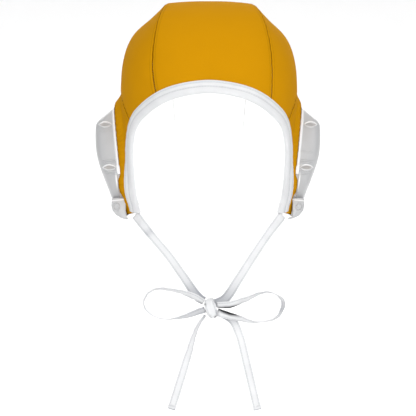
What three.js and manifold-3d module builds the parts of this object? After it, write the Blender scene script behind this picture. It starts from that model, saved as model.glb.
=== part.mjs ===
// A water polo cap in the form in which it is worn, in millimetres, +Z up, face towards -Y.
// The origin is the inner top of the crown. "left" is -X, the viewer's left from the front.
import * as THREE from "three";
import { mergeVertices } from "three/addons/utils/BufferGeometryUtils.js";
import Module from "manifold-3d";

const wasm = await Module();
wasm.setup();

// Head form: the outer face of the fabric, measured from the middle of the head
const HALF_BREADTH = 79.2;
const FOREHEAD_REACH = 97;
const NAPE_REACH = 98;
const CROWN_RISE = 80;
const CHEEK_DROP = 270;
const MIDDLE_BACK = 5;
const BREADTH_POWER = 2.5;
const PROFILE_POWER = 2.15;

// Cloth
const FABRIC = 1.2;
const GAP = 0.3;
const SEAM_RIDGE = 3.2;
const SEAM_DIP = 2.6;
const SEAM_RIDGE_FADE = 4.5;
const SEAM_DIP_SPAN = 38;
const SEAM_RIDGE_POWER = 2.6;
const CROWN_STRETCH = { from: 0.15, full: 0.75 };

// Edges
const FOREHEAD_FALL = 84.7;
const EAR_FALL = 189;
const NAPE_FALL = 162;
const LEFT_SEAM_START = 0.289;
const RIGHT_SEAM_START = 0.372;
const EAR_SEAM_START = 0.503;
const CROWN_SEAM_END = 0.83;
const EAR_SEAM_END = 0.66;

// Binding tape
const TAPE_WIDTH = 9.8;
const TAPE = 0.9;
const TAPE_CLEARANCE = 0.55;
const TIP_COVER = 16;

// Ear guards
const GUARD_BACK = 8;
const GUARD_FALL = 136;
const GUARD_HALF_LENGTH = 34;
const GUARD_HALF_HEIGHT = 42;
const GUARD_DEPTH = 19.6;
const GUARD_WALL = 2;
const GUARD_OUTLINE_POWER = 2.2;
const RIM_RELIEF = 3;
const RIM_RELIEF_SPAN = { from: -0.92, to: -0.45 };
const LEFT_SEAT_STAND = 1.6;
const RIGHT_SEAT_STAND = -0.4;
const SEAT_LEAN = 0.1;
const SEAT_MARGIN = 1;
const SEAT_FADE = 11;
const EAR_HOLE_HALF_LENGTH = 22;
const EAR_HOLE_HALF_HEIGHT = 30;
const WALL_SLOT_LENGTH = 10;
const WALL_SLOT_HEIGHT = 3.6;
const FACE_SLOT_LENGTH = 26;
const FACE_SLOT_HEIGHT = 4.5;
const LUG_LENGTH = 18;
const LUG_FORWARD = 9;

// Ties
const TIE_WIDTH = 7.4;
const TIE_THICKNESS = 1.5;
const TIE_SEAT = 4.1;
const TIE_START = 2.2;
const KNOT_WIDTH = 10.6;
const KNOT_DEPTH = 13;
const KNOT_HEIGHT = 18;

// Sections below the middle of the head: drop as a share of CHEEK_DROP, jaw as a share of
// FOREHEAD_REACH and nape as a share of NAPE_REACH
const NECKLINE = [
  { drop: 0.0, jaw: 1.0, nape: 1.0 },
  { drop: 0.098, jaw: 0.99, nape: 0.985 },
  { drop: 0.204, jaw: 0.93, nape: 0.93 },
  { drop: 0.293, jaw: 0.75, nape: 0.84 },
  { drop: 0.375, jaw: 0.46, nape: 0.74 },
  { drop: 0.449, jaw: 0.26, nape: 0.67 },
];

// Face edge from the middle of the forehead to an ear tip: at is the share of the way, breadth a
// share of HALF_BREADTH and fall the share of the drop from FOREHEAD_FALL to EAR_FALL
const FACE_EDGE = [
  { at: -0.16, breadth: -0.332, fall: 0.034 },
  { at: 0.0, breadth: 0.0, fall: 0.0 },
  { at: 0.16, breadth: 0.332, fall: 0.034 },
  { at: 0.285, breadth: 0.552, fall: 0.1 },
  { at: 0.434, breadth: 0.757, fall: 0.218 },
  { at: 0.503, breadth: 0.824, fall: 0.294 },
  { at: 0.561, breadth: 0.852, fall: 0.375 },
  { at: 0.642, breadth: 0.869, fall: 0.5 },
  { at: 0.726, breadth: 0.862, fall: 0.629 },
  { at: 0.783, breadth: 0.856, fall: 0.712 },
  { at: 0.845, breadth: 0.845, fall: 0.796 },
  { at: 0.911, breadth: 0.828, fall: 0.881 },
  { at: 1.0, breadth: 0.79, fall: 1.0 },
];

// Lower edge from an ear tip to the middle of the nape: at is the share of the turn round the
// head, rise the share of the way up from EAR_FALL to NAPE_FALL
const NAPE_EDGE = [
  { at: 0.0, rise: 0.0 },
  { at: 0.14, rise: -0.06 },
  { at: 0.27, rise: 0.03 },
  { at: 0.39, rise: 0.2 },
  { at: 0.53, rise: 0.46 },
  { at: 0.72, rise: 0.8 },
  { at: 1.0, rise: 1.0 },
  { at: 1.28, rise: 0.8 },
];

// Seams of the centre panel: turn in degrees from the forehead over the crown, left and right
// as shares of HALF_BREADTH
const CROWN_SEAMS = [
  { turn: -8, left: 0.56, right: 0.672 },
  { turn: 0, left: 0.588, right: 0.684 },
  { turn: 9, left: 0.621, right: 0.697 },
  { turn: 21, left: 0.615, right: 0.684 },
  { turn: 38, left: 0.572, right: 0.632 },
  { turn: 60, left: 0.505, right: 0.545 },
  { turn: 85, left: 0.457, right: 0.482 },
  { turn: 130, left: 0.46, right: 0.475 },
  { turn: 180, left: 0.44, right: 0.45 },
  { turn: 222, left: 0.36, right: 0.36 },
];

// Seam over the ear: turn in degrees round the head from the face, rise above the middle of
// the guard as a share of GUARD_HALF_HEIGHT
const EAR_SEAM = [
  { turn: 60, rise: 0.93 },
  { turn: 75, rise: 1.21 },
  { turn: 90, rise: 1.33 },
  { turn: 105, rise: 1.33 },
  { turn: 119, rise: 1.17 },
  { turn: 131, rise: 0.86 },
  { turn: 139, rise: 0.35 },
  { turn: 143, rise: -0.3 },
];

// Guard: depth along its height, both as shares of the half-height and of GUARD_DEPTH
const GUARD_DEPTHS = [
  { height: -1.0, depth: 0.8 },
  { height: -0.9, depth: 0.7 },
  { height: -0.81, depth: 0.66 },
  { height: -0.66, depth: 0.71 },
  { height: -0.45, depth: 0.81 },
  { height: -0.3, depth: 0.88 },
  { height: -0.12, depth: 0.95 },
  { height: 0.1, depth: 1.0 },
  { height: 0.6, depth: 0.98 },
  { height: 0.71, depth: 0.95 },
  { height: 0.78, depth: 0.78 },
  { height: 0.85, depth: 0.56 },
  { height: 0.92, depth: 0.36 },
  { height: 1.0, depth: 0.22 },
];

// Guard: rings from the rim to the middle of the dome, as shares of the outline and the depth
const GUARD_RINGS = [
  { outline: 1.0, rise: 0.0 },
  { outline: 0.985, rise: 0.38 },
  { outline: 0.95, rise: 0.64 },
  { outline: 0.88, rise: 0.84 },
  { outline: 0.75, rise: 0.95 },
  { outline: 0.45, rise: 1.01 },
  { outline: 0.0, rise: 1.02 },
];

// Slots: up from the middle of the guard as a share of GUARD_HALF_HEIGHT, out from its rim as a
// share of GUARD_DEPTH, and size as a share of the wall slot's own
const WALL_SLOTS = [
  { up: 0.64, out: 0.45, size: 1.0 },
  { up: -0.265, out: 0.45, size: 1.0 },
];
const FACE_SLOTS = [0.36, -0.04, -0.44];
const LUG_EYE = { up: -1.13, out: 0.39, size: 0.45 };

// Section of the lug in the guard's own frame: out from the rim and up from the guard's middle,
// as shares of GUARD_DEPTH and GUARD_HALF_HEIGHT
const LUG_SECTION = [
  { out: 0.5, up: -0.93 },
  { out: 0.56, up: -1.09 },
  { out: 0.52, up: -1.2 },
  { out: 0.36, up: -1.31 },
  { out: 0.1, up: -1.385 },
  { out: -0.12, up: -1.42 },
  { out: -0.12, up: -1.375 },
  { out: 0.21, up: -1.345 },
  { out: 0.19, up: -1.22 },
  { out: 0.12, up: -0.95 },
];

// Ties: hand-chosen points of each free stretch, x y z
const STRAP_ROUTES = {
  left: [
    [-52, -24, -208], [-36.3, -32, -226.3], [-24, -39, -243], [-9.5, -46.8, -263],
    [-4.5, -47.4, -266.3],
  ],
  right: [
    [52.5, -24.5, -208], [38.1, -33, -229], [26, -40, -247.5], [13.5, -46.6, -265],
    [5.2, -47.1, -268.4],
  ],
};
const LOOP_ROUTES = {
  left: [
    [-4.6, -53.9, -266.8], [-14.5, -54.5, -261.5], [-25.4, -55, -257.9], [-43.8, -56, -255.2],
    [-53.5, -56, -259.2], [-57.2, -56, -268], [-51.7, -56, -277.2], [-36.2, -55.5, -282],
    [-18.4, -54.5, -278.5], [-3.8, -53.1, -273.6],
  ],
  right: [
    [7.1, -53.8, -269.8], [18.5, -54.5, -269], [31.8, -55, -264.6], [43, -56, -259.8],
    [55, -56, -258.6], [64.6, -56, -267], [60.5, -56, -279], [45.2, -55.5, -284.5],
    [27.6, -54.5, -281.6], [7.4, -53.6, -276.2],
  ],
};
const TAIL_ROUTES = {
  left: [
    [-3.4, -50.6, -278.8], [-10.5, -50, -289], [-15, -49.5, -302], [-21, -49.5, -322.3],
    [-33.2, -49.5, -361.6],
  ],
  right: [
    [6.9, -45, -275.8], [20, -45, -283], [26.5, -45.5, -296], [33.3, -47, -322.3],
    [42.6, -48, -362.2],
  ],
};
const KNOT_PLACE = [1.6, -52, -272.4];
const KNOT_TILT = -0.25;

// Mesh steps
const HALVINGS = 24;
const PROBE = 1.6;
const EDGE_PROBE = 0.004;
const TIE_STEP = 12;
const END_STEP = 5.9;
const END_STEPS = 2;
const SEAM_STEPS = 22;
const FRONT_STEPS = 12;
const SIDE_STEPS = 6;
const TAPE_STEPS = 48;
const NAPE_TAPE_STEPS = 38;
const EAR_FRONT_STEPS = 14;
const EAR_LOWER_STEPS = 20;
const GUARD_SIDES = 24;

const middle = new THREE.Vector3(0, MIDDLE_BACK, FABRIC - CROWN_RISE);
const sides = { left: -1, right: 1 };
const seatOut = { left: HALF_BREADTH + LEFT_SEAT_STAND, right: HALF_BREADTH + RIGHT_SEAT_STAND };
const seamStart = { left: LEFT_SEAM_START, right: RIGHT_SEAM_START };

// Reads one column of a table at a value of its key, on a smooth curve through the rows.
function slopeAt(table, key, column, row) {
  const before = table[Math.max(row - 1, 0)];
  const after = table[Math.min(row + 1, table.length - 1)];
  return (after[column] - before[column]) / (after[key] - before[key]);
}

function readTable(table, key, column, at) {
  const last = table.length - 1;
  const place = THREE.MathUtils.clamp(at, table[0][key], table[last][key]);
  let row = 0;
  while (row < last - 1 && table[row + 1][key] < place) row += 1;
  const span = table[row + 1][key] - table[row][key];
  const t = (place - table[row][key]) / span;
  const from = table[row][column];
  const to = table[row + 1][column];
  const leave = slopeAt(table, key, column, row) * span;
  const arrive = slopeAt(table, key, column, row + 1) * span;
  const bend = t * t * (3 - 2 * t);
  return from + (to - from) * bend + leave * t * (1 - t) * (1 - t) - arrive * t * t * (1 - t);
}

// How much of the guard's flat seat a place on the side of the head takes: all of it behind the
// guard, and none past the fade round it.
function seatShare(y, z) {
  const along = (y - GUARD_BACK) / (GUARD_HALF_LENGTH + SEAT_MARGIN);
  const above = (z + GUARD_FALL) / (GUARD_HALF_HEIGHT + SEAT_MARGIN);
  const beyond = (Math.hypot(along, above) - 1) * (GUARD_HALF_LENGTH + GUARD_HALF_HEIGHT) / 2;
  return 1 - THREE.MathUtils.smoothstep(beyond, 0, SEAT_FADE);
}

function seatReach(name, z) {
  return seatOut[name] + SEAT_LEAN * (z + GUARD_FALL);
}

// The head form: 1 on its face, less inside. Below the middle its front and back close in, and
// the ear panel is drawn out to the guard's seat.
function formFill(point) {
  const y = point.y - middle.y;
  const z = point.z - middle.z;
  const drop = Math.max(-z, 0) / CHEEK_DROP;
  const jaw = FOREHEAD_REACH * readTable(NECKLINE, "drop", "jaw", drop);
  const nape = NAPE_REACH * readTable(NECKLINE, "drop", "nape", drop);
  const lengthwise = Math.abs(y) / (y < 0 ? jaw : nape);
  const upright = Math.abs(z) / (z > 0 ? CROWN_RISE : CHEEK_DROP);
  const round = lengthwise ** PROFILE_POWER + upright ** PROFILE_POWER;
  const profile = round ** (BREADTH_POWER / PROFILE_POWER);
  const plain = HALF_BREADTH * Math.max(1 - profile, 0) ** (1 / BREADTH_POWER);
  const drawn = seatShare(point.y, point.z) * (seatReach(point.x < 0 ? "left" : "right", point.z) - plain);
  return (Math.max(Math.abs(point.x) - drawn, 0) / HALF_BREADTH) ** BREADTH_POWER + profile;
}

// How far the form's face lies from a point inside it, by halving.
function reachFrom(start, direction) {
  let near = 0;
  let far = CHEEK_DROP + FOREHEAD_REACH;
  for (let step = 0; step < HALVINGS; step += 1) {
    const half = (near + far) / 2;
    const point = start.clone().addScaledVector(direction, half);
    if (formFill(point) < 1) near = half;
    else far = half;
  }
  return (near + far) / 2;
}

// The crown is stretched flat between its seams, which stand up as ridges, and dips beside them.
function seamLift(direction, reach) {
  const turn = 90 + THREE.MathUtils.radToDeg(Math.atan2(direction.y, direction.z));
  const column = direction.x < 0 ? "left" : "right";
  const seam = HALF_BREADTH * readTable(CROWN_SEAMS, "turn", column, turn);
  const aside = Math.abs(direction.x) * reach;
  const upper = THREE.MathUtils.smoothstep(direction.z, CROWN_STRETCH.from, CROWN_STRETCH.full);
  if (aside < seam) return upper * SEAM_RIDGE * (aside / seam) ** SEAM_RIDGE_POWER;
  const past = aside - seam;
  const dip = SEAM_DIP * Math.sin(Math.PI * Math.min(past / SEAM_DIP_SPAN, 1)) ** 2;
  return upper * (SEAM_RIDGE * Math.exp(-past / SEAM_RIDGE_FADE) - dip);
}

function onHead(guide) {
  const direction = guide.clone().sub(middle).normalize();
  const plain = reachFrom(middle, direction);
  return middle.clone().addScaledVector(direction, plain + seamLift(direction, plain));
}

function headNormal(point) {
  const direction = point.clone().sub(middle).normalize();
  const level = Math.abs(direction.z) < 0.9 ? new THREE.Vector3(0, 0, 1) : new THREE.Vector3(0, 1, 0);
  const across = new THREE.Vector3().crossVectors(level, direction).normalize().multiplyScalar(PROBE);
  const upward = new THREE.Vector3().crossVectors(direction, across).normalize().multiplyScalar(PROBE);
  const first = onHead(point.clone().add(across)).sub(onHead(point.clone().sub(across)));
  const second = onHead(point.clone().add(upward)).sub(onHead(point.clone().sub(upward)));
  return first.cross(second).normalize();
}

// Points of the edges and seams
function faceEdge(at) {
  const way = Math.abs(at);
  const fall = readTable(FACE_EDGE, "at", "fall", way) * (EAR_FALL - FOREHEAD_FALL) + FOREHEAD_FALL;
  const breadth = readTable(FACE_EDGE, "at", "breadth", way) * HALF_BREADTH * Math.sign(at);
  const start = new THREE.Vector3(breadth, middle.y, -fall);
  const reach = reachFrom(start, new THREE.Vector3(0, -1, 0));
  return onHead(start.setY(middle.y - reach));
}

function roundHead(turn, height, side) {
  const angle = THREE.MathUtils.degToRad(turn);
  const start = new THREE.Vector3(0, middle.y, height);
  const direction = new THREE.Vector3(Math.sin(angle) * side, -Math.cos(angle), 0);
  return onHead(start.addScaledVector(direction, reachFrom(start, direction)));
}

// at runs from 0 at an ear tip to 1 at the middle of the nape
function napeEdge(at, side) {
  const tip = faceEdge(side);
  const tipTurn = THREE.MathUtils.radToDeg(Math.atan2(Math.abs(tip.x), middle.y - tip.y));
  const rise = readTable(NAPE_EDGE, "at", "rise", at) * (EAR_FALL - NAPE_FALL);
  return roundHead(THREE.MathUtils.lerp(tipTurn, 180, at), rise + tip.z, side);
}

// The whole lower edge: at runs from -1 at the left ear tip through 0 at the nape to 1.
function lowerEdge(at) {
  return napeEdge(1 - Math.abs(at), at < 0 ? -1 : 1);
}

function smoothSeam(points) {
  return new THREE.CatmullRomCurve3(points, false, "centripetal");
}

function crownSeam(name) {
  const side = sides[name];
  const inner = CROWN_SEAMS.slice(2, -1).map((row) => {
    const angle = THREE.MathUtils.degToRad(row.turn);
    const start = new THREE.Vector3(side * row[name] * HALF_BREADTH, middle.y, middle.z);
    const direction = new THREE.Vector3(0, -Math.cos(angle), Math.sin(angle));
    return onHead(start.addScaledVector(direction, reachFrom(start, direction)));
  });
  return smoothSeam([faceEdge(side * seamStart[name]), ...inner, napeEdge(CROWN_SEAM_END, side)]);
}

function earSeam(name) {
  const side = sides[name];
  const inner = EAR_SEAM.map((row) => {
    return roundHead(row.turn, row.rise * GUARD_HALF_HEIGHT - GUARD_FALL, side);
  });
  return smoothSeam([faceEdge(side * EAR_SEAM_START), ...inner, napeEdge(EAR_SEAM_END, side)]);
}

// Points along a seam, closer together where the tape covers its ends.
function seamPoints(curve) {
  const first = END_STEP / curve.getLength();
  const points = [];
  for (let step = 0; step <= SEAM_STEPS; step += 1) {
    const even = (step - END_STEPS) / (SEAM_STEPS - 2 * END_STEPS);
    const near = step <= END_STEPS ? step * first : 1 - (SEAM_STEPS - step) * first;
    const between = THREE.MathUtils.lerp(END_STEPS * first, 1 - END_STEPS * first, even);
    const at = even > 0 && even < 1 ? between : near;
    points.push(onHead(curve.getPointAt(THREE.MathUtils.clamp(at, 0, 1))));
  }
  return points;
}

function edgePoints(edge, from, to, steps) {
  return Array.from({ length: steps + 1 }, (_, step) => edge(THREE.MathUtils.lerp(from, to, step / steps)));
}

// Turns a mesh whose faces point in the other way round.
function facingOut(geometry) {
  const place = geometry.getAttribute("position");
  const index = geometry.getIndex();
  const corners = [0, 1, 2].map(() => new THREE.Vector3());
  let volume = 0;
  for (let face = 0; face < index.count; face += 3) {
    corners.forEach((corner, n) => corner.fromBufferAttribute(place, index.getX(face + n)));
    volume += corners[0].dot(corners[1].clone().cross(corners[2]));
  }
  if (volume > 0) return geometry;
  const turned = Array.from(index.array).reverse();
  geometry.setIndex(turned);
  return geometry;
}

function fromRows(rows, faces) {
  const geometry = new THREE.BufferGeometry();
  geometry.setAttribute("position", new THREE.Float32BufferAttribute(rows.flatMap((p) => p.toArray()), 3));
  geometry.setIndex(faces);
  return facingOut(geometry);
}

// A wall of fabric: a grid of points on the outer face, and the same grid a fabric's thickness
// deeper. A round grid closes on itself along its rows.
function clothWall(outer, inner, round) {
  const rows = outer.length;
  const columns = outer[0].length;
  const count = rows * columns;
  const faces = [];
  const at = (row, column) => row * columns + (column % columns);
  const quad = (a, b, c, d) => faces.push(a, b, c, a, c, d);
  const spans = round ? columns : columns - 1;
  for (let row = 0; row < rows - 1; row += 1) {
    for (let column = 0; column < spans; column += 1) {
      const square = [at(row, column), at(row, column + 1), at(row + 1, column + 1), at(row + 1, column)];
      quad(...square);
      quad(...square.map((corner) => corner + count).reverse());
    }
  }
  const wall = (a, b) => quad(b, a, a + count, b + count);
  for (let column = 0; column < spans; column += 1) {
    wall(at(0, column), at(0, column + 1));
    wall(at(rows - 1, column + 1), at(rows - 1, column));
  }
  for (let row = 0; row < rows - 1 && !round; row += 1) {
    wall(at(row + 1, 0), at(row, 0));
    wall(at(row, columns - 1), at(row + 1, columns - 1));
  }
  return fromRows([...outer.flat(), ...inner.flat()], faces);
}

// A patch of the head between four lines of points that share their corners.
function headPatch(first, last, start, end) {
  const steps = start.length - 1;
  return first.map((from, row) => {
    const s = row / (first.length - 1);
    const to = last[row];
    return start.map((_, column) => {
      const t = column / steps;
      const across = from.clone().lerp(to, t);
      const along = start[column].clone().lerp(end[column], s);
      const startLine = start[0].clone().lerp(start[steps], t);
      const endLine = end[0].clone().lerp(end[steps], t);
      return onHead(across.add(along).sub(startLine.lerp(endLine, s)));
    });
  });
}

// Draws the sewn edges of a grid in by half a gap: the first row of a round grid, and the first
// and last columns of any other.
function drawnIn(grid, round) {
  const moved = grid.map((row) => row.map((point) => point.clone()));
  const pull = (row, column, nextRow, nextColumn) => {
    const step = grid[nextRow][nextColumn].clone().sub(grid[row][column]);
    moved[row][column].addScaledVector(step.normalize(), GAP / 2);
  };
  if (round) {
    grid[0].forEach((_, n) => pull(0, n, 1, n));
    return moved;
  }
  const end = grid[0].length - 1;
  grid.forEach((_, n) => {
    pull(n, 0, n, 1);
    pull(n, end, n, end - 1);
  });
  return moved;
}

// The inner face under a grid's outer one.
function deeper(grid, moved) {
  return grid.map((row, r) => row.map((point, c) => {
    return moved[r][c].clone().addScaledVector(headNormal(point), -FABRIC);
  }));
}

function centrePanel() {
  const left = seamPoints(crownSeam("left"));
  const right = seamPoints(crownSeam("right"));
  const front = edgePoints(faceEdge, -LEFT_SEAM_START, RIGHT_SEAM_START, FRONT_STEPS);
  const back = edgePoints(lowerEdge, CROWN_SEAM_END - 1, 1 - CROWN_SEAM_END, FRONT_STEPS);
  const grid = headPatch(left, right, front, back);
  const moved = drawnIn(grid, false);
  return clothWall(moved, deeper(grid, moved), false);
}

function sidePanel(name) {
  const side = sides[name];
  const upper = seamPoints(crownSeam(name));
  const lower = seamPoints(earSeam(name));
  const front = edgePoints((at) => faceEdge(side * at), seamStart[name], EAR_SEAM_START, SIDE_STEPS);
  const back = edgePoints((at) => napeEdge(at, side), CROWN_SEAM_END, EAR_SEAM_END, SIDE_STEPS);
  const grid = headPatch(upper, lower, front, back);
  const moved = drawnIn(grid, false);
  return clothWall(moved, deeper(grid, moved), false);
}

// Point of an oval round the guard's middle, at the angle of another point seen from the side.
function ovalPoint(border, halfLength, halfHeight, side) {
  const angle = Math.atan2(border.z + GUARD_FALL, border.y - GUARD_BACK);
  const size = 1 / Math.hypot(Math.cos(angle) / halfLength, Math.sin(angle) / halfHeight);
  const y = GUARD_BACK + size * Math.cos(angle);
  const z = size * Math.sin(angle) - GUARD_FALL;
  return new THREE.Vector3(side * seatReach(side < 0 ? "left" : "right", z), y, z);
}

function earPanel(name) {
  const side = sides[name];
  const seam = seamPoints(earSeam(name));
  const lower = edgePoints((at) => napeEdge(at, side), EAR_SEAM_END, 0, EAR_LOWER_STEPS);
  const front = edgePoints((at) => faceEdge(side * at), 1, EAR_SEAM_START, EAR_FRONT_STEPS);
  const border = [...seam, ...lower.slice(1), ...front.slice(1, -1)];
  const outline = border.map((point) => {
    return ovalPoint(point, GUARD_HALF_LENGTH + SEAT_MARGIN, GUARD_HALF_HEIGHT + SEAT_MARGIN, side);
  });
  const hole = border.map((point) => ovalPoint(point, EAR_HOLE_HALF_LENGTH, EAR_HOLE_HALF_HEIGHT, side));
  const between = [0.25, 0.5, 0.75].map((share) => {
    return border.map((point, n) => onHead(point.clone().lerp(outline[n], share)));
  });
  const grid = [border, ...between, outline.map(onHead), hole.map(onHead)];
  const moved = drawnIn(grid, true);
  return clothWall(moved, deeper(grid, moved), true);
}

// A tape folded over an edge: one section of it, at a point of the edge. inward points from the
// edge into the fabric, along its face.
function tapeSection(point, inward) {
  const outside = TAPE_CLEARANCE + TAPE;
  const clear = TAPE_CLEARANCE;
  const half = TAPE_WIDTH / 2;
  const corners = [
    [TAPE_WIDTH, outside], [half, outside], [0, outside], [-outside, 0], [-outside, -FABRIC],
    [0, -FABRIC - outside], [half, -FABRIC - outside], [TAPE_WIDTH, -FABRIC - outside],
    [TAPE_WIDTH, -FABRIC - clear], [half, -FABRIC - clear], [-clear, -FABRIC - clear],
    [-clear, clear], [half, clear], [TAPE_WIDTH, clear],
  ];
  return corners.map(([away, lift]) => {
    const foot = onHead(point.clone().addScaledVector(inward, away));
    return foot.addScaledVector(headNormal(foot), lift);
  });
}

// From an edge that runs along run, up along the face of the fabric.
function intoFabric(point, run) {
  const inward = new THREE.Vector3().crossVectors(headNormal(point), run).normalize();
  return inward.z < 0 ? inward.negate() : inward;
}

function tape(edge, from, to, steps) {
  const sections = [];
  for (let step = 0; step <= steps; step += 1) {
    const at = THREE.MathUtils.lerp(from, to, step / steps);
    const point = edge(at);
    const run = edge(at + EDGE_PROBE).sub(edge(at - EDGE_PROBE));
    sections.push(tapeSection(point, intoFabric(point, run)));
  }
  return sweep(sections);
}

// Joins a row of closed sections into one body with flat ends.
function sweep(sections) {
  const count = sections[0].length;
  const faces = [];
  for (let row = 0; row < sections.length - 1; row += 1) {
    for (let n = 0; n < count; n += 1) {
      const next = (n + 1) % count;
      const corners = [row * count + n, row * count + next, (row + 1) * count + next, (row + 1) * count + n];
      faces.push(corners[0], corners[1], corners[2], corners[0], corners[2], corners[3]);
    }
  }
  const capTriangles = sectionTriangles(sections[0]);
  const last = (sections.length - 1) * count;
  capTriangles.forEach(([a, b, c]) => {
    faces.push(a, c, b);
    faces.push(a + last, b + last, c + last);
  });
  return fromRows(sections.flat(), faces);
}

// Triangles of a flat section, found in the plane of its first and furthest corners.
function sectionTriangles(section) {
  const along = section[0].clone().sub(section[2]).normalize();
  const across = section[0].clone().sub(section[section.length - 1]).normalize();
  const outline = section.map((point) => {
    const arm = point.clone().sub(section[0]);
    return new THREE.Vector2(arm.dot(along), arm.dot(across));
  });
  const triangles = THREE.ShapeUtils.triangulateShape(outline, []);
  return THREE.ShapeUtils.isClockWise(outline) ? triangles.map(([a, b, c]) => [a, c, b]) : triangles;
}

// Solids for joining and cutting
function solidOf(geometry) {
  const bare = geometry.clone();
  bare.deleteAttribute("normal");
  bare.deleteAttribute("uv");
  const merged = mergeVertices(bare, 1e-4);
  const vertProperties = Float32Array.from(merged.getAttribute("position").array);
  const triVerts = Uint32Array.from(merged.getIndex().array);
  return new wasm.Manifold(new wasm.Mesh({ numProp: 3, vertProperties, triVerts }));
}

function geometryOf(solid) {
  const mesh = solid.getMesh();
  const geometry = new THREE.BufferGeometry();
  geometry.setAttribute("position", new THREE.BufferAttribute(Float32Array.from(mesh.vertProperties), 3));
  geometry.setIndex(Array.from(mesh.triVerts));
  return geometry;
}

// Guard shapes, in the guard's own frame: x out from the seat, y back, z up
function guardRing(row, inset) {
  return Array.from({ length: GUARD_SIDES }, (_, n) => {
    const angle = 2 * Math.PI * n / GUARD_SIDES;
    const round = (value) => Math.sign(value) * Math.abs(value) ** (2 / GUARD_OUTLINE_POWER);
    const back = (GUARD_HALF_LENGTH - inset) * row.outline * round(Math.cos(angle));
    const up = (GUARD_HALF_HEIGHT - inset) * row.outline * round(Math.sin(angle));
    const depth = GUARD_DEPTH * readTable(GUARD_DEPTHS, "height", "depth", up / GUARD_HALF_HEIGHT) - inset;
    return new THREE.Vector3(depth * row.rise, back, up);
  });
}

function guardCup() {
  const open = GUARD_RINGS.slice(0, -1);
  const outer = open.map((row) => guardRing(row, 0));
  const inner = open.map((row) => guardRing(row, GUARD_WALL));
  const rings = [...outer.reverse(), ...inner];
  const points = rings.flat();
  const faces = [];
  for (let row = 0; row < rings.length - 1; row += 1) {
    for (let n = 0; n < GUARD_SIDES; n += 1) {
      const next = (n + 1) % GUARD_SIDES;
      const corners = [row * GUARD_SIDES + n, row * GUARD_SIDES + next];
      const above = corners.map((corner) => corner + GUARD_SIDES);
      faces.push(corners[0], above[0], above[1], corners[0], above[1], corners[1]);
    }
  }
  const crest = GUARD_DEPTH * GUARD_RINGS.at(-1).rise;
  points.push(new THREE.Vector3(crest, 0, 0), new THREE.Vector3(crest - GUARD_WALL, 0, 0));
  const lastRing = (rings.length - 1) * GUARD_SIDES;
  for (let n = 0; n < GUARD_SIDES; n += 1) {
    const next = (n + 1) % GUARD_SIDES;
    faces.push(points.length - 2, n, next);
    faces.push(points.length - 1, lastRing + next, lastRing + n);
  }
  return solidOf(fromRows(points, faces));
}

function eyeShape(length, height) {
  const shape = new THREE.Shape();
  shape.moveTo(-length / 2, 0);
  shape.quadraticCurveTo(0, height, length / 2, 0);
  shape.quadraticCurveTo(0, -height, -length / 2, 0);
  return shape;
}

function extruded(shape, depth, curveSegments) {
  return new THREE.ExtrudeGeometry(shape, { depth, bevelEnabled: false, curveSegments });
}

// A slot from front to back through both side walls.
function wallSlot(row) {
  const span = 4 * GUARD_HALF_LENGTH;
  const cutter = extruded(eyeShape(row.size * WALL_SLOT_LENGTH, row.size * WALL_SLOT_HEIGHT), span, 3);
  cutter.rotateX(Math.PI / 2);
  cutter.translate(row.out * GUARD_DEPTH, span / 2, row.up * GUARD_HALF_HEIGHT);
  return solidOf(cutter);
}

// A round-ended slot through the outer face.
function faceSlot(up) {
  const shape = new THREE.Shape();
  const half = (FACE_SLOT_LENGTH - FACE_SLOT_HEIGHT) / 2;
  const radius = FACE_SLOT_HEIGHT / 2;
  shape.absarc(half, 0, radius, -Math.PI / 2, Math.PI / 2, false);
  shape.absarc(-half, 0, radius, Math.PI / 2, 1.5 * Math.PI, false);
  const cutter = extruded(shape, GUARD_DEPTH, 3);
  const turn = new THREE.Matrix4().makeBasis(
    new THREE.Vector3(0, 1, 0), new THREE.Vector3(0, 0, 1), new THREE.Vector3(1, 0, 0));
  cutter.applyMatrix4(turn);
  cutter.translate(GUARD_DEPTH / 2, 0, up);
  return solidOf(cutter);
}

// The rim stands clear of the fabric at the front, above the lug.
function rimRelief(side) {
  const height = (RIM_RELIEF_SPAN.to - RIM_RELIEF_SPAN.from) * GUARD_HALF_HEIGHT;
  const cutter = new THREE.BoxGeometry(2 * RIM_RELIEF, 4 * GUARD_HALF_LENGTH, height);
  cutter.translate(0, -side * 2 * GUARD_HALF_LENGTH, RIM_RELIEF_SPAN.from * GUARD_HALF_HEIGHT + height / 2);
  return solidOf(cutter);
}

function guardLug(side) {
  const outline = LUG_SECTION.map((row) => {
    return new THREE.Vector2(row.out * GUARD_DEPTH, row.up * GUARD_HALF_HEIGHT);
  });
  const body = extruded(new THREE.Shape(outline), LUG_LENGTH, 1);
  body.rotateX(Math.PI / 2);
  body.translate(0, LUG_LENGTH / 2 - side * LUG_FORWARD, 0);
  return solidOf(body).subtract(wallSlot(LUG_EYE));
}

function earGuard(side) {
  let guard = guardCup().subtract(rimRelief(side));
  WALL_SLOTS.forEach((row) => {
    guard = guard.subtract(wallSlot(row));
  });
  FACE_SLOTS.forEach((share) => {
    guard = guard.subtract(faceSlot(share * GUARD_HALF_HEIGHT));
  });
  return geometryOf(guard.add(guardLug(side)));
}

// Ties: flat tape along a smooth route. faceOn turns its wide side to the viewer.
function tapeSectionShape(faceOn) {
  const wide = TIE_WIDTH / 2;
  const thin = TIE_THICKNESS / 2;
  const corners = [
    [wide, thin / 2], [wide - thin / 2, thin], [thin / 2 - wide, thin], [-wide, thin / 2],
    [-wide, -thin / 2], [thin / 2 - wide, -thin], [wide - thin / 2, -thin], [wide, -thin / 2],
  ];
  const turned = corners.map(([a, b]) => (faceOn ? new THREE.Vector2(-b, a) : new THREE.Vector2(a, b)));
  return new THREE.Shape(turned);
}

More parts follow.
